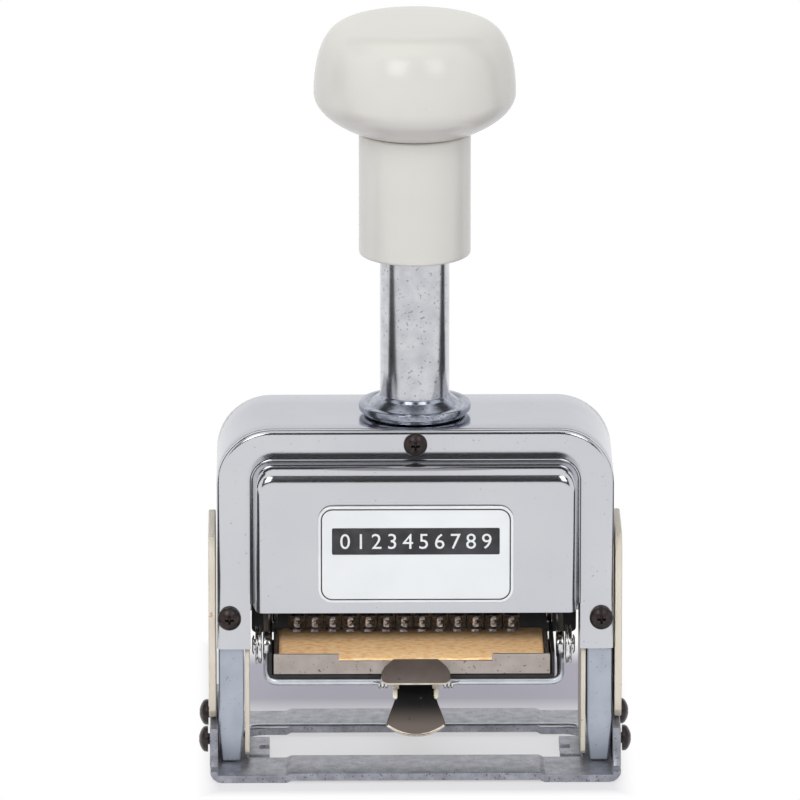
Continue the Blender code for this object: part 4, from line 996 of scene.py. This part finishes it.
def pan_head(name, like, direction):
    """A screw head that fills the frame node's box, with its recess cut in."""
    low, high = box_of(like)
    direction = Vector(direction)
    middle = (low + high) / 2
    radius = (high.z - low.z) / 2
    length = abs((high - low).dot(direction))
    top = middle + direction * length / 2
    turn = Matrix.Translation(top) @ direction.to_track_quat("Z", "Y").to_matrix().to_4x4()
    height = radius * HEAD_HEIGHT_SHARE
    dome = radius * DOME_SHARE
    profile = [(0, 0)] + arc((0, -dome), dome, *DOME_ANGLES, 8)
    profile += [(radius * across, -height * down) for across, down in HEAD_SIDE_SHARES]
    profile += [(SHANK_RADIUS, -height), (SHANK_RADIUS, -length), (0, -length)]
    head = bmesh_object(name, spun(profile, SCREW_STEPS, closed=False))
    bars = bmesh.new()
    for angle in (0, math.pi / 2):
        bmesh.ops.create_cone(
            bars,
            cap_ends=True,
            segments=4,
            radius1=radius * RECESS_REACH_SHARE * RECESS_TAPER[0],
            radius2=radius * RECESS_REACH_SHARE * RECESS_TAPER[1],
            depth=radius * RECESS_DEPTH_SHARE * 2,
            matrix=Matrix.Rotation(angle, 4, "Z")
            @ Matrix.Diagonal((1, RECESS_HALF_WIDTH_SHARE * 2, 1, 1))
            @ Matrix.Rotation(math.pi / 4, 4, "Z"),
        )
    cutter = bmesh_object("recess", bars)
    cut_out(head, cutter)
    head.data.transform(turn)
    return head


def cut_out(target, cutter):
    """Cut one object out of another and apply the result."""
    tool = target.modifiers.new("cut", "BOOLEAN")
    tool.object = cutter
    tool.solver = "EXACT"
    tool.use_self = True
    bpy.context.view_layer.update()
    shapes = bpy.context.evaluated_depsgraph_get()
    mesh = bpy.data.meshes.new_from_object(target.evaluated_get(shapes))
    target.modifiers.clear()
    target.data = mesh
    bpy.data.objects.remove(cutter)


# %% The seven screws
SCREW_FACES = {
    "cover_screw_top": (0, -1, 0),
    "cover_screw_left": (0, -1, 0),
    "cover_screw_right": (0, -1, 0),
    "left_front_base_screw": (-1, 0, 0),
    "left_back_base_screw": (-1, 0, 0),
    "right_front_base_screw": (1, 0, 0),
    "right_back_base_screw": (1, 0, 0),
}
for node_name, direction in SCREW_FACES.items():
    dressed(pan_head(f"{node_name}_head", node_name, direction), "black", node_name)
print("screws:", len(SCREW_FACES))

# %% [markdown]
# ## Castings and plates
# The base, the legs, the tray and the flat plates keep the frame's own shape. A copy of each node
# is merged, its flat faces are joined again, and a live Bevel modifier rounds every edge, wide on
# a casting and fine on a sheet. That way their holes and notches stay where the frame has them.


# %% A rounded copy of a frame node
FLAT_ENOUGH = math.radians(2)


def rounded_copy(name, like, finish, rim, segments=3):
    """The node's own form, merged and with its edges rounded."""
    bm = bmesh.new()
    bm.from_mesh(frame["nodes"][like].data)
    bmesh.ops.remove_doubles(bm, verts=bm.verts, dist=0.002 * MM)
    bmesh.ops.dissolve_limit(
        bm,
        angle_limit=FLAT_ENOUGH,
        verts=bm.verts,
        edges=bm.edges,
        use_dissolve_boundaries=False,
    )
    piece = finished(name, bm, finish, like)
    add_rims(piece, rim, segments, 25)
    return piece


COPIES = (
    ("base_casting", "base_plate", "base", 0.35 * MM),
    ("left_leg_casting", "left_leg", "zinc", 0.5 * MM),
    ("right_leg_casting", "right_leg", "zinc", 0.5 * MM),
    ("left_inner_plate", "left_guide_plate", "ivory", 0.15 * MM),
    ("right_inner_plate", "right_guide_plate", "ivory", 0.15 * MM),
    ("left_side_plate", "left_outer_plate", "ivory", 0.3 * MM),
    ("right_side_plate", "right_outer_plate", "ivory", 0.3 * MM),
    ("tray_of_pad", "pad_tray", "tray", 0.15 * MM),
    ("carriage_left_cheek", "carriage_left_plate", "bright", 0.15 * MM),
    ("carriage_right_cheek", "carriage_right_plate", "bright", 0.15 * MM),
    ("carriage_top", "carriage_yoke", "steel", 0.3 * MM),
    ("rod_of_plunger", "plunger_rod", "steel", 0.1 * MM),
)
for name, like, finish, rim in COPIES:
    rounded_copy(name, like, finish, rim)
print("rounded copies:", len(COPIES))

# %% [markdown]
# ## The wheels
# Thirteen inked steel wheels stand side by side, with ten raised figures round each. A wheel is a
# spun rim with ten flats pressed into it, and its figures are text, mirrored because they print,
# given a height and set round the rim. Two neighbouring wheels nearly touch. The first wheel's
# mesh is made once, and the others are copies moved along the axle.

# %% The wheels and their figures
AXLE_PLACE = Vector((0, 2.6, 35.6)) * MM
WHEEL_RADIUS = 9.2 * MM
WHEEL_BORE = 2.2 * MM
FIGURES = 10
WHEEL_WALL_GAP = 0.12 * MM
FIGURE_RISE = 0.5 * MM
FIGURE_SIZE = 3.0 * MM
FIGURE_SEAT = 0.15 * MM
FIGURE_SQUEEZE = 0.82
FLAT_HEIGHT = 0.5 * MM
FLAT_DROP = 0.12 * MM
WHEEL_SHIFT = 0.24 * MM
WHEELS = 13
RIM_STEPS = 60

pitch = box_of("number_wheel_02")[0].x - box_of("number_wheel_01")[0].x
half = pitch / 2 - WHEEL_WALL_GAP
land = WHEEL_RADIUS - FIGURE_RISE
profile = [
    (land - 0.9 * MM, half),
    (land - 0.35 * MM, half),
    (land - 0.35 * MM, half - 0.32 * MM),
    (land - 0.75 * MM, half - 0.42 * MM),
    (land - 0.75 * MM, -half + 0.42 * MM),
    (land - 0.35 * MM, -half + 0.32 * MM),
    (land - 0.35 * MM, -half),
    (land - 0.9 * MM, -half),
    (WHEEL_BORE, -half),
    (WHEEL_BORE, half),
]
ALONG_AXLE = Matrix.Rotation(math.pi / 2, 4, "Y")
wheel_bm = spun(profile, RIM_STEPS, ALONG_AXLE)
for i in range(FIGURES):
    made = bmesh.ops.create_cube(wheel_bm, size=1)["verts"]
    size = (pitch * 0.78, land * 0.44, FLAT_HEIGHT)
    bmesh.ops.scale(wheel_bm, vec=size, verts=made)
    turn = Matrix.Rotation(math.tau * (i + 0.5) / FIGURES, 4, "X")
    bmesh.ops.translate(wheel_bm, vec=(0, 0, land - FLAT_HEIGHT / 2 - FLAT_DROP), verts=made)
    bmesh.ops.transform(wheel_bm, matrix=turn, verts=made)
# The figures take the figure finish, whose near white tone is partly painted highlight for their
# glints.
figure_bm = bmesh.new()
for i in range(FIGURES):
    one = figures(str(i), FIGURE_SIZE, 1.0, FIGURE_RISE)
    mirror = Matrix.Diagonal((-FIGURE_SQUEEZE, 1, 1, 1))
    turn = Matrix.Rotation(math.tau * (i + 0.5) / FIGURES, 4, "X")
    lift = Matrix.Translation((0, 0, land + FIGURE_RISE / 2 - FIGURE_SEAT))
    bmesh.ops.transform(one, matrix=turn @ lift @ mirror, verts=one.verts)
    held = bpy.data.meshes.new("one_figure")
    one.to_mesh(held)
    one.free()
    figure_bm.from_mesh(held)
    bpy.data.meshes.remove(held)
bmesh.ops.recalc_face_normals(figure_bm, faces=figure_bm.faces)

for i in range(1, WHEELS + 1):
    like = f"number_wheel_{i:02d}"
    middle = box_of(like)[0].x + pitch / 2 - WHEEL_SHIFT
    place = Matrix.Translation((middle, AXLE_PLACE.y, AXLE_PLACE.z))
    for name, source, finish in (
        (f"wheel_{i:02d}_body", wheel_bm, "wheel"),
        (f"wheel_{i:02d}_figures", figure_bm, "figure"),
    ):
        bm = source.copy()
        bmesh.ops.transform(bm, matrix=place, verts=bm.verts)
        finished(name, bm, finish, like)
wheel_bm.free()
figure_bm.free()
print("wheel pitch", round(pitch / MM, 2), "mm")

# %% [markdown]
# ## The ink pad
# The pad is a strip of felt that lies in the tray. It starts as a fine grid that is extruded to
# its thickness. Its rim falls away softly, and seeded random heights lift the nap, so its top is
# never quite flat. The tan and the darkening towards the back are in the finish.

# %% The felt pad
PAD_CELLS = (84, 36)
PAD_EDGE = 0.5 * MM
PAD_GAP = 0.7 * MM
NAP = 0.07 * MM
NAP_SEED = 7

low, high = box_of("ink_pad")
low.y += PAD_GAP
middle = (low + high) / 2
bm = bmesh.new()
bmesh.ops.create_grid(bm, x_segments=PAD_CELLS[0], y_segments=PAD_CELLS[1], size=0.5)
bmesh.ops.scale(bm, vec=(high.x - low.x, high.y - low.y, 1), verts=bm.verts)
bmesh.ops.translate(bm, vec=(middle.x, middle.y, low.z), verts=bm.verts)
out = bmesh.ops.extrude_face_region(bm, geom=bm.faces[:])
nap = random.Random(NAP_SEED)
for vert in (v for v in out["geom"] if isinstance(v, bmesh.types.BMVert)):
    inset = min(vert.co.x - low.x, high.x - vert.co.x, vert.co.y - low.y, high.y - vert.co.y)
    fall = min(1, max(0, 1 - inset / PAD_EDGE))
    vert.co.z = high.z - NAP - PAD_EDGE * (1 - math.sqrt(1 - fall * fall)) + nap.uniform(-NAP, NAP)
bmesh.ops.recalc_face_normals(bm, faces=bm.faces)
pad = finished("felt_of_pad", bm, "felt", "ink_pad")
soften = pad.modifiers.new("soften", "SUBSURF")
soften.levels = soften.render_levels = 1
print("pad", round((high.x - low.x) / MM, 1), "by", round((high.y - low.y) / MM, 1), "mm")

# %% [markdown]
# ## The pad's bracket and rollers
# A plated wire runs under the tray and turns up at both ends into an eye on the wheels' axle. It
# is a curve with a round section, made a mesh in place. Outside each arm a polished roller with
# two soft rims turns on a headed pin, and a boss on the wire holds the pin; all three are spun.

# %% The bracket wire
WIRE_RADIUS = 0.75 * MM
BAR_PLACE = Vector((0, -18.5, 21.5)) * MM
ARM_LEFT = -31.3 * MM
ARM_RIGHT = 30.6 * MM
BEND = 2.6 * MM
EYE_RADIUS = 2.9 * MM
EYE_THICKNESS = 1.3 * MM
EYE_BORE = 2.1 * MM
EYE_MIDDLE = 2.3 * MM


def wire_piece(name, points, radius, finish, like, bend):
    """A round wire along straight runs with rounded bends."""
    runs = []
    for i, point in enumerate(points):
        here = Vector(point)
        if not bend or i in (0, len(points) - 1):
            runs.append(here)
            continue
        start = here + (Vector(points[i - 1]) - here).normalized() * bend
        end = here + (Vector(points[i + 1]) - here).normalized() * bend
        runs += bend_points(start, here, end, 8)
    curve = bpy.data.curves.new(name, "CURVE")
    curve.dimensions = "3D"
    curve.bevel_depth = radius
    curve.bevel_resolution = 6
    curve.use_fill_caps = True
    line = curve.splines.new("POLY")
    line.points.add(len(runs) - 1)
    for slot, place in zip(line.points, runs):
        slot.co = (*place, 1)
    bm = curve_mesh(name, curve)
    bmesh.ops.remove_doubles(bm, verts=bm.verts, dist=WELD)
    bmesh.ops.recalc_face_normals(bm, faces=bm.faces)
    return finished(name, bm, finish, like)


toward_axle = (AXLE_PLACE - BAR_PLACE).normalized()
eye_foot = AXLE_PLACE - toward_axle * EYE_MIDDLE
runs = [
    (ARM_LEFT, eye_foot.y, eye_foot.z),
    (ARM_LEFT, BAR_PLACE.y, BAR_PLACE.z),
    (ARM_RIGHT, BAR_PLACE.y, BAR_PLACE.z),
    (ARM_RIGHT, eye_foot.y, eye_foot.z),
]
wire_piece("bracket_wire", runs, WIRE_RADIUS, "plated", "pad_bracket", BEND)


def turned_ring(name, across, place, radii, thickness, finish, like, rim):
    """A disc with a hole, spun round an axis along X, with soft rims."""
    inner, outer = radii
    half = thickness / 2
    profile = softened([(outer, half), (outer, -half), (inner, -half), (inner, half)], rim)
    turn = Matrix.Translation((across, place.y, place.z)) @ ALONG_AXLE
    return finished(name, spun(profile, 64, turn), finish, like)


for side, across in (("left", ARM_LEFT), ("right", ARM_RIGHT)):
    size = (EYE_BORE, EYE_RADIUS)
    turned_ring(
        f"{side}_eye", across, AXLE_PLACE, size, EYE_THICKNESS, "bright", "pad_bracket", 0.3 * MM
    )

# %% The rollers and their pins
BOSS_RADIUS = 2.9 * MM
PIN_HEAD_RADIUS = 2.0 * MM

for side in ("left", "right"):
    sign = -1 if side == "left" else 1
    low, high = box_of(f"{side}_pad_roller")
    middle = (low + high) / 2
    radius = (high.z - low.z) / 2
    half = (high.x - low.x) / 2
    across = ARM_LEFT if sign < 0 else ARM_RIGHT
    size = (1.3 * MM, BOSS_RADIUS)
    turned_ring(f"{side}_boss", across, middle, size, 1.7 * MM, "bright", "pad_bracket", 0.5 * MM)
    profile = [
        (radius, half * 0.8),
        (radius * 0.93, half * 0.25),
        (radius * 0.93, -half * 0.25),
        (radius, -half * 0.8),
        (radius * 0.8, -half),
        (1.5 * MM, -half),
        (1.5 * MM, half),
        (radius * 0.8, half),
    ]
    turn = Matrix.Translation(middle) @ ALONG_AXLE
    bm = spun(softened(profile, 0.25 * MM), 64, turn)
    finished(f"{side}_roller", bm, "bright", f"{side}_pad_roller")
    low, high = box_of(f"{side}_roller_pin")
    head = PIN_HEAD_RADIUS
    outside = low.x if sign < 0 else high.x
    length = high.x - low.x
    profile = [(0, 0), (head * 0.7, 0), (head, 0.25 * MM), (head, 0.45 * MM)]
    profile += [(1.2 * MM, 0.45 * MM), (1.2 * MM, length), (0, length)]
    mirror = Matrix.Diagonal((-sign, 1, 1, 1))
    turn = Matrix.Translation((outside, middle.y, middle.z)) @ mirror @ ALONG_AXLE
    bm = spun(profile, 48, turn, closed=False)
    bmesh.ops.recalc_face_normals(bm, faces=bm.faces)
    finished(f"{side}_pin", bm, "bright", f"{side}_roller_pin")
print("rollers and pins: 4")

# %% [markdown]
# ## The finger tabs
# Two painted steel tabs are squeezed between finger and thumb to tilt the pad. Both are outlines
# cut from sheet and bent a little, dark on their faces, with a pale line along their cut edges.
# So each is a dark sheet with a thin pale strip round its rim, and the lower one has a pale bead
# along its tip. The lower one grips the wire with two ears beside two folded strips, a coil of
# spring wire lies outside each ear, and its root is darkened by painted shade.

# %% Outlines of the tabs
TAB_THICKNESS = 0.8 * MM
TAB_RIM = 0.16 * MM
EDGE_PROUD = 0.08 * MM
UPPER_SLOPE = math.atan2(3.2, 6.0)
UPPER_LENGTH = 6.8 * MM
UPPER_BACK_HALF = 4.7 * MM
UPPER_CORNER = 1.5 * MM
LEVER_NECK = 4.2 * MM
LEVER_SLOPE = math.radians(52)
FAN_HALF = 6.3 * MM
FAN_TOP = 9.3 * MM
LEVER_LENGTH = 11.6 * MM

tab_low, tab_high = box_of("upper_finger_tab")
front_half = (tab_high.x - tab_low.x) / 2
upper = [(-UPPER_BACK_HALF, 0)]
upper += [(-front_half + 0.6 * MM, -UPPER_LENGTH * 0.34), (-front_half, -UPPER_LENGTH * 0.56)]
upper += arc((-front_half + UPPER_CORNER, -UPPER_LENGTH + UPPER_CORNER), UPPER_CORNER, 180, 262, 6)
upper += arc((front_half - UPPER_CORNER, -UPPER_LENGTH + UPPER_CORNER), UPPER_CORNER, 278, 360, 6)
upper += [(front_half, -UPPER_LENGTH * 0.56), (front_half - 0.6 * MM, -UPPER_LENGTH * 0.34)]
upper += [(UPPER_BACK_HALF, 0)]

sag = LEVER_LENGTH - FAN_TOP
curve_radius = (FAN_HALF**2 + sag**2) / (2 * sag)
spread = math.degrees(math.asin(FAN_HALF / curve_radius))
fan_end = arc((0, -LEVER_LENGTH + curve_radius), curve_radius, 270 - spread, 270 + spread, 17)
side = [(LEVER_NECK, 0), (LEVER_NECK, -3.2 * MM), (LEVER_NECK + 0.5 * MM, -4.8 * MM)]
side.append((FAN_HALF - 0.7 * MM, -7.2 * MM))
fan = [(-x, y) for x, y in side] + fan_end + side[::-1]


def curved_sheet(outline, place, bend):
    """A filled outline, bent by lowering it with the square of its distance forward."""
    bm = slab(softened(outline, 0.5 * MM, 3), TAB_THICKNESS, TAB_RIM, Matrix.Identity(4))
    for i in range(1, 8):
        bmesh.ops.bisect_plane(
            bm,
            geom=bm.verts[:] + bm.edges[:] + bm.faces[:],
            plane_co=(0, -LEVER_LENGTH * i / 8, 0),
            plane_no=(0, 1, 0),
        )
    for vert in bm.verts:
        vert.co.z += bend * vert.co.y**2
    bmesh.ops.transform(bm, matrix=place, verts=bm.verts)
    return bm


def rim_strip(outline, place, bend, width):
    """The pale line along a tab's cut edge, a hair proud of it."""
    bm = slab(softened(outline, 0.5 * MM, 3), TAB_THICKNESS - 2 * TAB_RIM, 0, Matrix.Identity(4))
    caps = [f for f in bm.faces if abs(f.normal.z) > 0.9]
    bmesh.ops.delete(bm, geom=caps, context="FACES")
    for vert in bm.verts:
        vert.co.xy *= 1 + width / UPPER_LENGTH * 0.4
        vert.co.z += TAB_RIM + bend * vert.co.y**2
    bmesh.ops.transform(bm, matrix=place, verts=bm.verts)
    return bm


# %% The upper tab
UPPER_BEND = -6.0
tray_low, tray_high = box_of("pad_tray")
tab_root = (0, tray_low.y - 0.3 * MM, tray_high.z - 1.5 * MM)
place = Matrix.Translation(tab_root) @ Matrix.Rotation(UPPER_SLOPE, 4, "X")
finished("upper_tab", curved_sheet(upper, place, UPPER_BEND), "tab", "upper_finger_tab")
edge = rim_strip(upper, place, UPPER_BEND, EDGE_PROUD)
finished("upper_tab_edge", edge, "tab_edge", "upper_finger_tab")

# %% The release lever
LEVER_BEND = -8.0
EAR_RADIUS = 1.6 * MM
EAR_WIDTH = 1.5 * MM
EAR_SPREAD = 5.0 * MM
LEVER_ROOT_GAP = 1.15 * MM

drop = Matrix.Translation((0, 0, -LEVER_ROOT_GAP))
place = Matrix.Translation(BAR_PLACE) @ Matrix.Rotation(LEVER_SLOPE, 4, "X") @ drop
finished("lever_fan", curved_sheet(fan, place, LEVER_BEND), "fan", "pad_release_lever")
edge = rim_strip(fan, place, LEVER_BEND, EDGE_PROUD)
finished("lever_fan_edge", edge, "tab_edge", "pad_release_lever")
for side, sign in (("left", -1), ("right", 1)):
    across = sign * (EAR_SPREAD - EAR_WIDTH / 2)
    size = (WIRE_RADIUS + 0.15 * MM, EAR_RADIUS)
    turned_ring(
        f"{side}_ear", across, BAR_PLACE, size, EAR_WIDTH, "tab_edge", "pad_release_lever", 0.2 * MM
    )
    prong = slab(
        rounded_box((-0.5 * MM, -3.9 * MM), (0.5 * MM, -0.2 * MM), 0.45 * MM, 4),
        0.7 * MM,
        0.15 * MM,
        place @ Matrix.Translation((sign * 4.35 * MM, 0, TAB_THICKNESS - 0.25 * MM)),
    )
    finished(f"{side}_prong", prong, "tab_edge", "pad_release_lever")
reach = spread * 0.92
tip = arc((0, -LEVER_LENGTH + curve_radius), curve_radius, 270 - reach, 270 + reach, 13)
tip = [
    place @ Vector((x, y + 0.3 * MM, TAB_THICKNESS * 0.62 + LEVER_BEND * y * y)) for x, y in tip
]
wire_piece("lever_tip_bead", tip, 0.36 * MM, "tab_edge", "pad_release_lever", 0)

SPRING_RADIUS = 1.3 * MM
SPRING_WIRE = 0.3 * MM
SPRING_START = 5.5 * MM
SPRING_TURNS = 3
SPRING_PITCH = 0.75 * MM
SPRING_POINTS = 16
for side, sign in (("left", -1), ("right", 1)):
    coil = []
    for i in range(SPRING_TURNS * SPRING_POINTS + 1):
        angle = math.tau * i / SPRING_POINTS
        across = sign * (SPRING_START + i / SPRING_POINTS * SPRING_PITCH)
        round_bar = (-SPRING_RADIUS * math.cos(angle), SPRING_RADIUS * math.sin(angle))
        coil.append(BAR_PLACE + Vector((across, *round_bar)))
    coil.append(coil[-1] + Vector((sign * 1.6 * MM, -0.2 * MM, 0.3 * MM)))
    wire_piece(f"{side}_spring", coil, SPRING_WIRE, "bright", "pad_release_lever", 0)
print("tabs: 2, with", 2 * SPRING_TURNS, "turns of spring wire")

# %% [markdown]
# ## Painted shade behind the wheels and under the tray
# Seen from the front, the space behind the wheels is black. That black is painted shade: a dark
# apron hangs inside the housing's back wall, and the tray sits in a dark carrier with two cheeks,
# all in the shade finish. Both are simple bent sheets, made from outlines with rounded rims.

# %% The apron behind the wheels
APRON_TOP = 60 * MM
APRON_BOTTOM = 22.6 * MM
APRON_HALF = 34.6 * MM
APRON_THICKNESS = 0.7 * MM

shell_low, shell_high = box_of("housing_shell")
corners = ((-APRON_HALF, APRON_BOTTOM), (APRON_HALF, APRON_TOP))
back = shell_high.y - HOUSING_WALL - 0.1 * MM
# A dark sheet of painted shade behind the wheels.
bm = slab(rounded_box(*corners, 1.0 * MM), APRON_THICKNESS, 0.2 * MM, at_front(back))
finished("shade_apron_behind_wheels", bm, "shade", "housing_shell")

# %% The carrier under the tray
CARRIER_FLOOR = (22.2 * MM, 23.1 * MM)
CHEEK_TOP = 28.0 * MM
CHEEK_THICKNESS = 0.7 * MM

# A dark floor and cheeks of painted shade under and beside the tray.
width = (tray_low.x - 1.0 * MM, tray_high.x + 1.0 * MM)
bm = slab(
    rounded_box((width[0], tray_low.y + 0.6 * MM), (width[1], tray_high.y - 0.3 * MM), 0.6 * MM),
    CARRIER_FLOOR[1] - CARRIER_FLOOR[0],
    0.15 * MM,
    Matrix.Translation((0, 0, CARRIER_FLOOR[0])),
)
finished("shade_carrier_floor", bm, "shade", "pad_tray")
for side, edge in (("left", width[0]), ("right", width[1] - CHEEK_THICKNESS)):
    corners = ((tray_low.y + 0.8 * MM, CARRIER_FLOOR[0]), (tray_high.y - 0.4 * MM, CHEEK_TOP))
    shape = rounded_box(*corners, 0.8 * MM)
    place = Matrix.Translation((edge, 0, 0)) @ TURN_TO_SIDE
    bm = slab(shape, CHEEK_THICKNESS, 0.15 * MM, place)
    finished(f"{side}_cheek", bm, "shade", "pad_tray")
print("apron and carrier: 4 pieces")

# %% [markdown]
# ## The window's lip
# The rear edge of the base's window has a rounded raised lip that hooks forward at both ends.

# %% The window's lip
LIP_HALF = 35.9 * MM
LIP_BACK = 13.85 * MM
LIP_FRONT = 8.4 * MM
LIP_RADIUS = 0.6 * MM
LIP_BEND = 3.4 * MM
LIP_HEIGHT = 1.75 * MM

runs = [(-LIP_HALF, LIP_FRONT), (-LIP_HALF, LIP_BACK), (LIP_HALF, LIP_BACK), (LIP_HALF, LIP_FRONT)]
runs = [(x, y, LIP_HEIGHT) for x, y in runs]
wire_piece("window_lip", runs, LIP_RADIUS, "plated", "base_plate", LIP_BEND)
print("lip", round(2 * LIP_HALF / MM, 1), "mm wide")

# %% [markdown]
# ## Fine seams
# Where the cover meets the housing, and where the hood rises out of the cover, the real machine
# shows a fine black line, the shade in a narrow gap. Each is a narrow band of painted shade that
# follows the same arch as the edge beside it.

# %% The two seams
HOOD_SEAM_WIDTH = 0.32 * MM
HOOD_SEAM_INSET = 0.1 * MM
COVER_SEAM_WIDTH = 0.6 * MM
COVER_SEAM_INSET = 0.06 * MM
SEAM_PROUD = 0.04 * MM


def seam(name, half, top, radius, depth, bottom, width, along_front):
    """A narrow band of painted shade along an arch, facing forward or outward."""
    if along_front:
        lines = [
            arch(half + out, bottom, top + out, radius + out, depth - SEAM_PROUD)
            for out in (width / 2, -width / 2)
        ]
    else:
        lines = [arch(half, bottom, top, radius, depth + out) for out in (-width / 2, width / 2)]
    bm, _ = bridged(lines)
    turned_out(bm, INSIDE)
    piece = finished(name, bm, "shade", "front_cover")
    add_wall(piece, SEAM_PROUD * 2)
    return piece


seam(
    "hood_seam_shade",
    root_half - HOOD_SEAM_INSET,
    root_top - HOOD_SEAM_INSET,
    HOOD_CORNER + ROOT_FILLET,
    plate_front,
    HOOD_BOTTOM,
    HOOD_SEAM_WIDTH,
    along_front=True,
)
seam(
    "cover_seam_shade",
    half_housing - COVER_SEAM_INSET,
    cover_high.z - COVER_SEAM_INSET,
    HOUSING_RADIUS,
    (cover_high.y + shell_low.y) / 2,
    cover_low.z + 0.2 * MM,
    COVER_SEAM_WIDTH,
    along_front=False,
)
print("seams: 2")
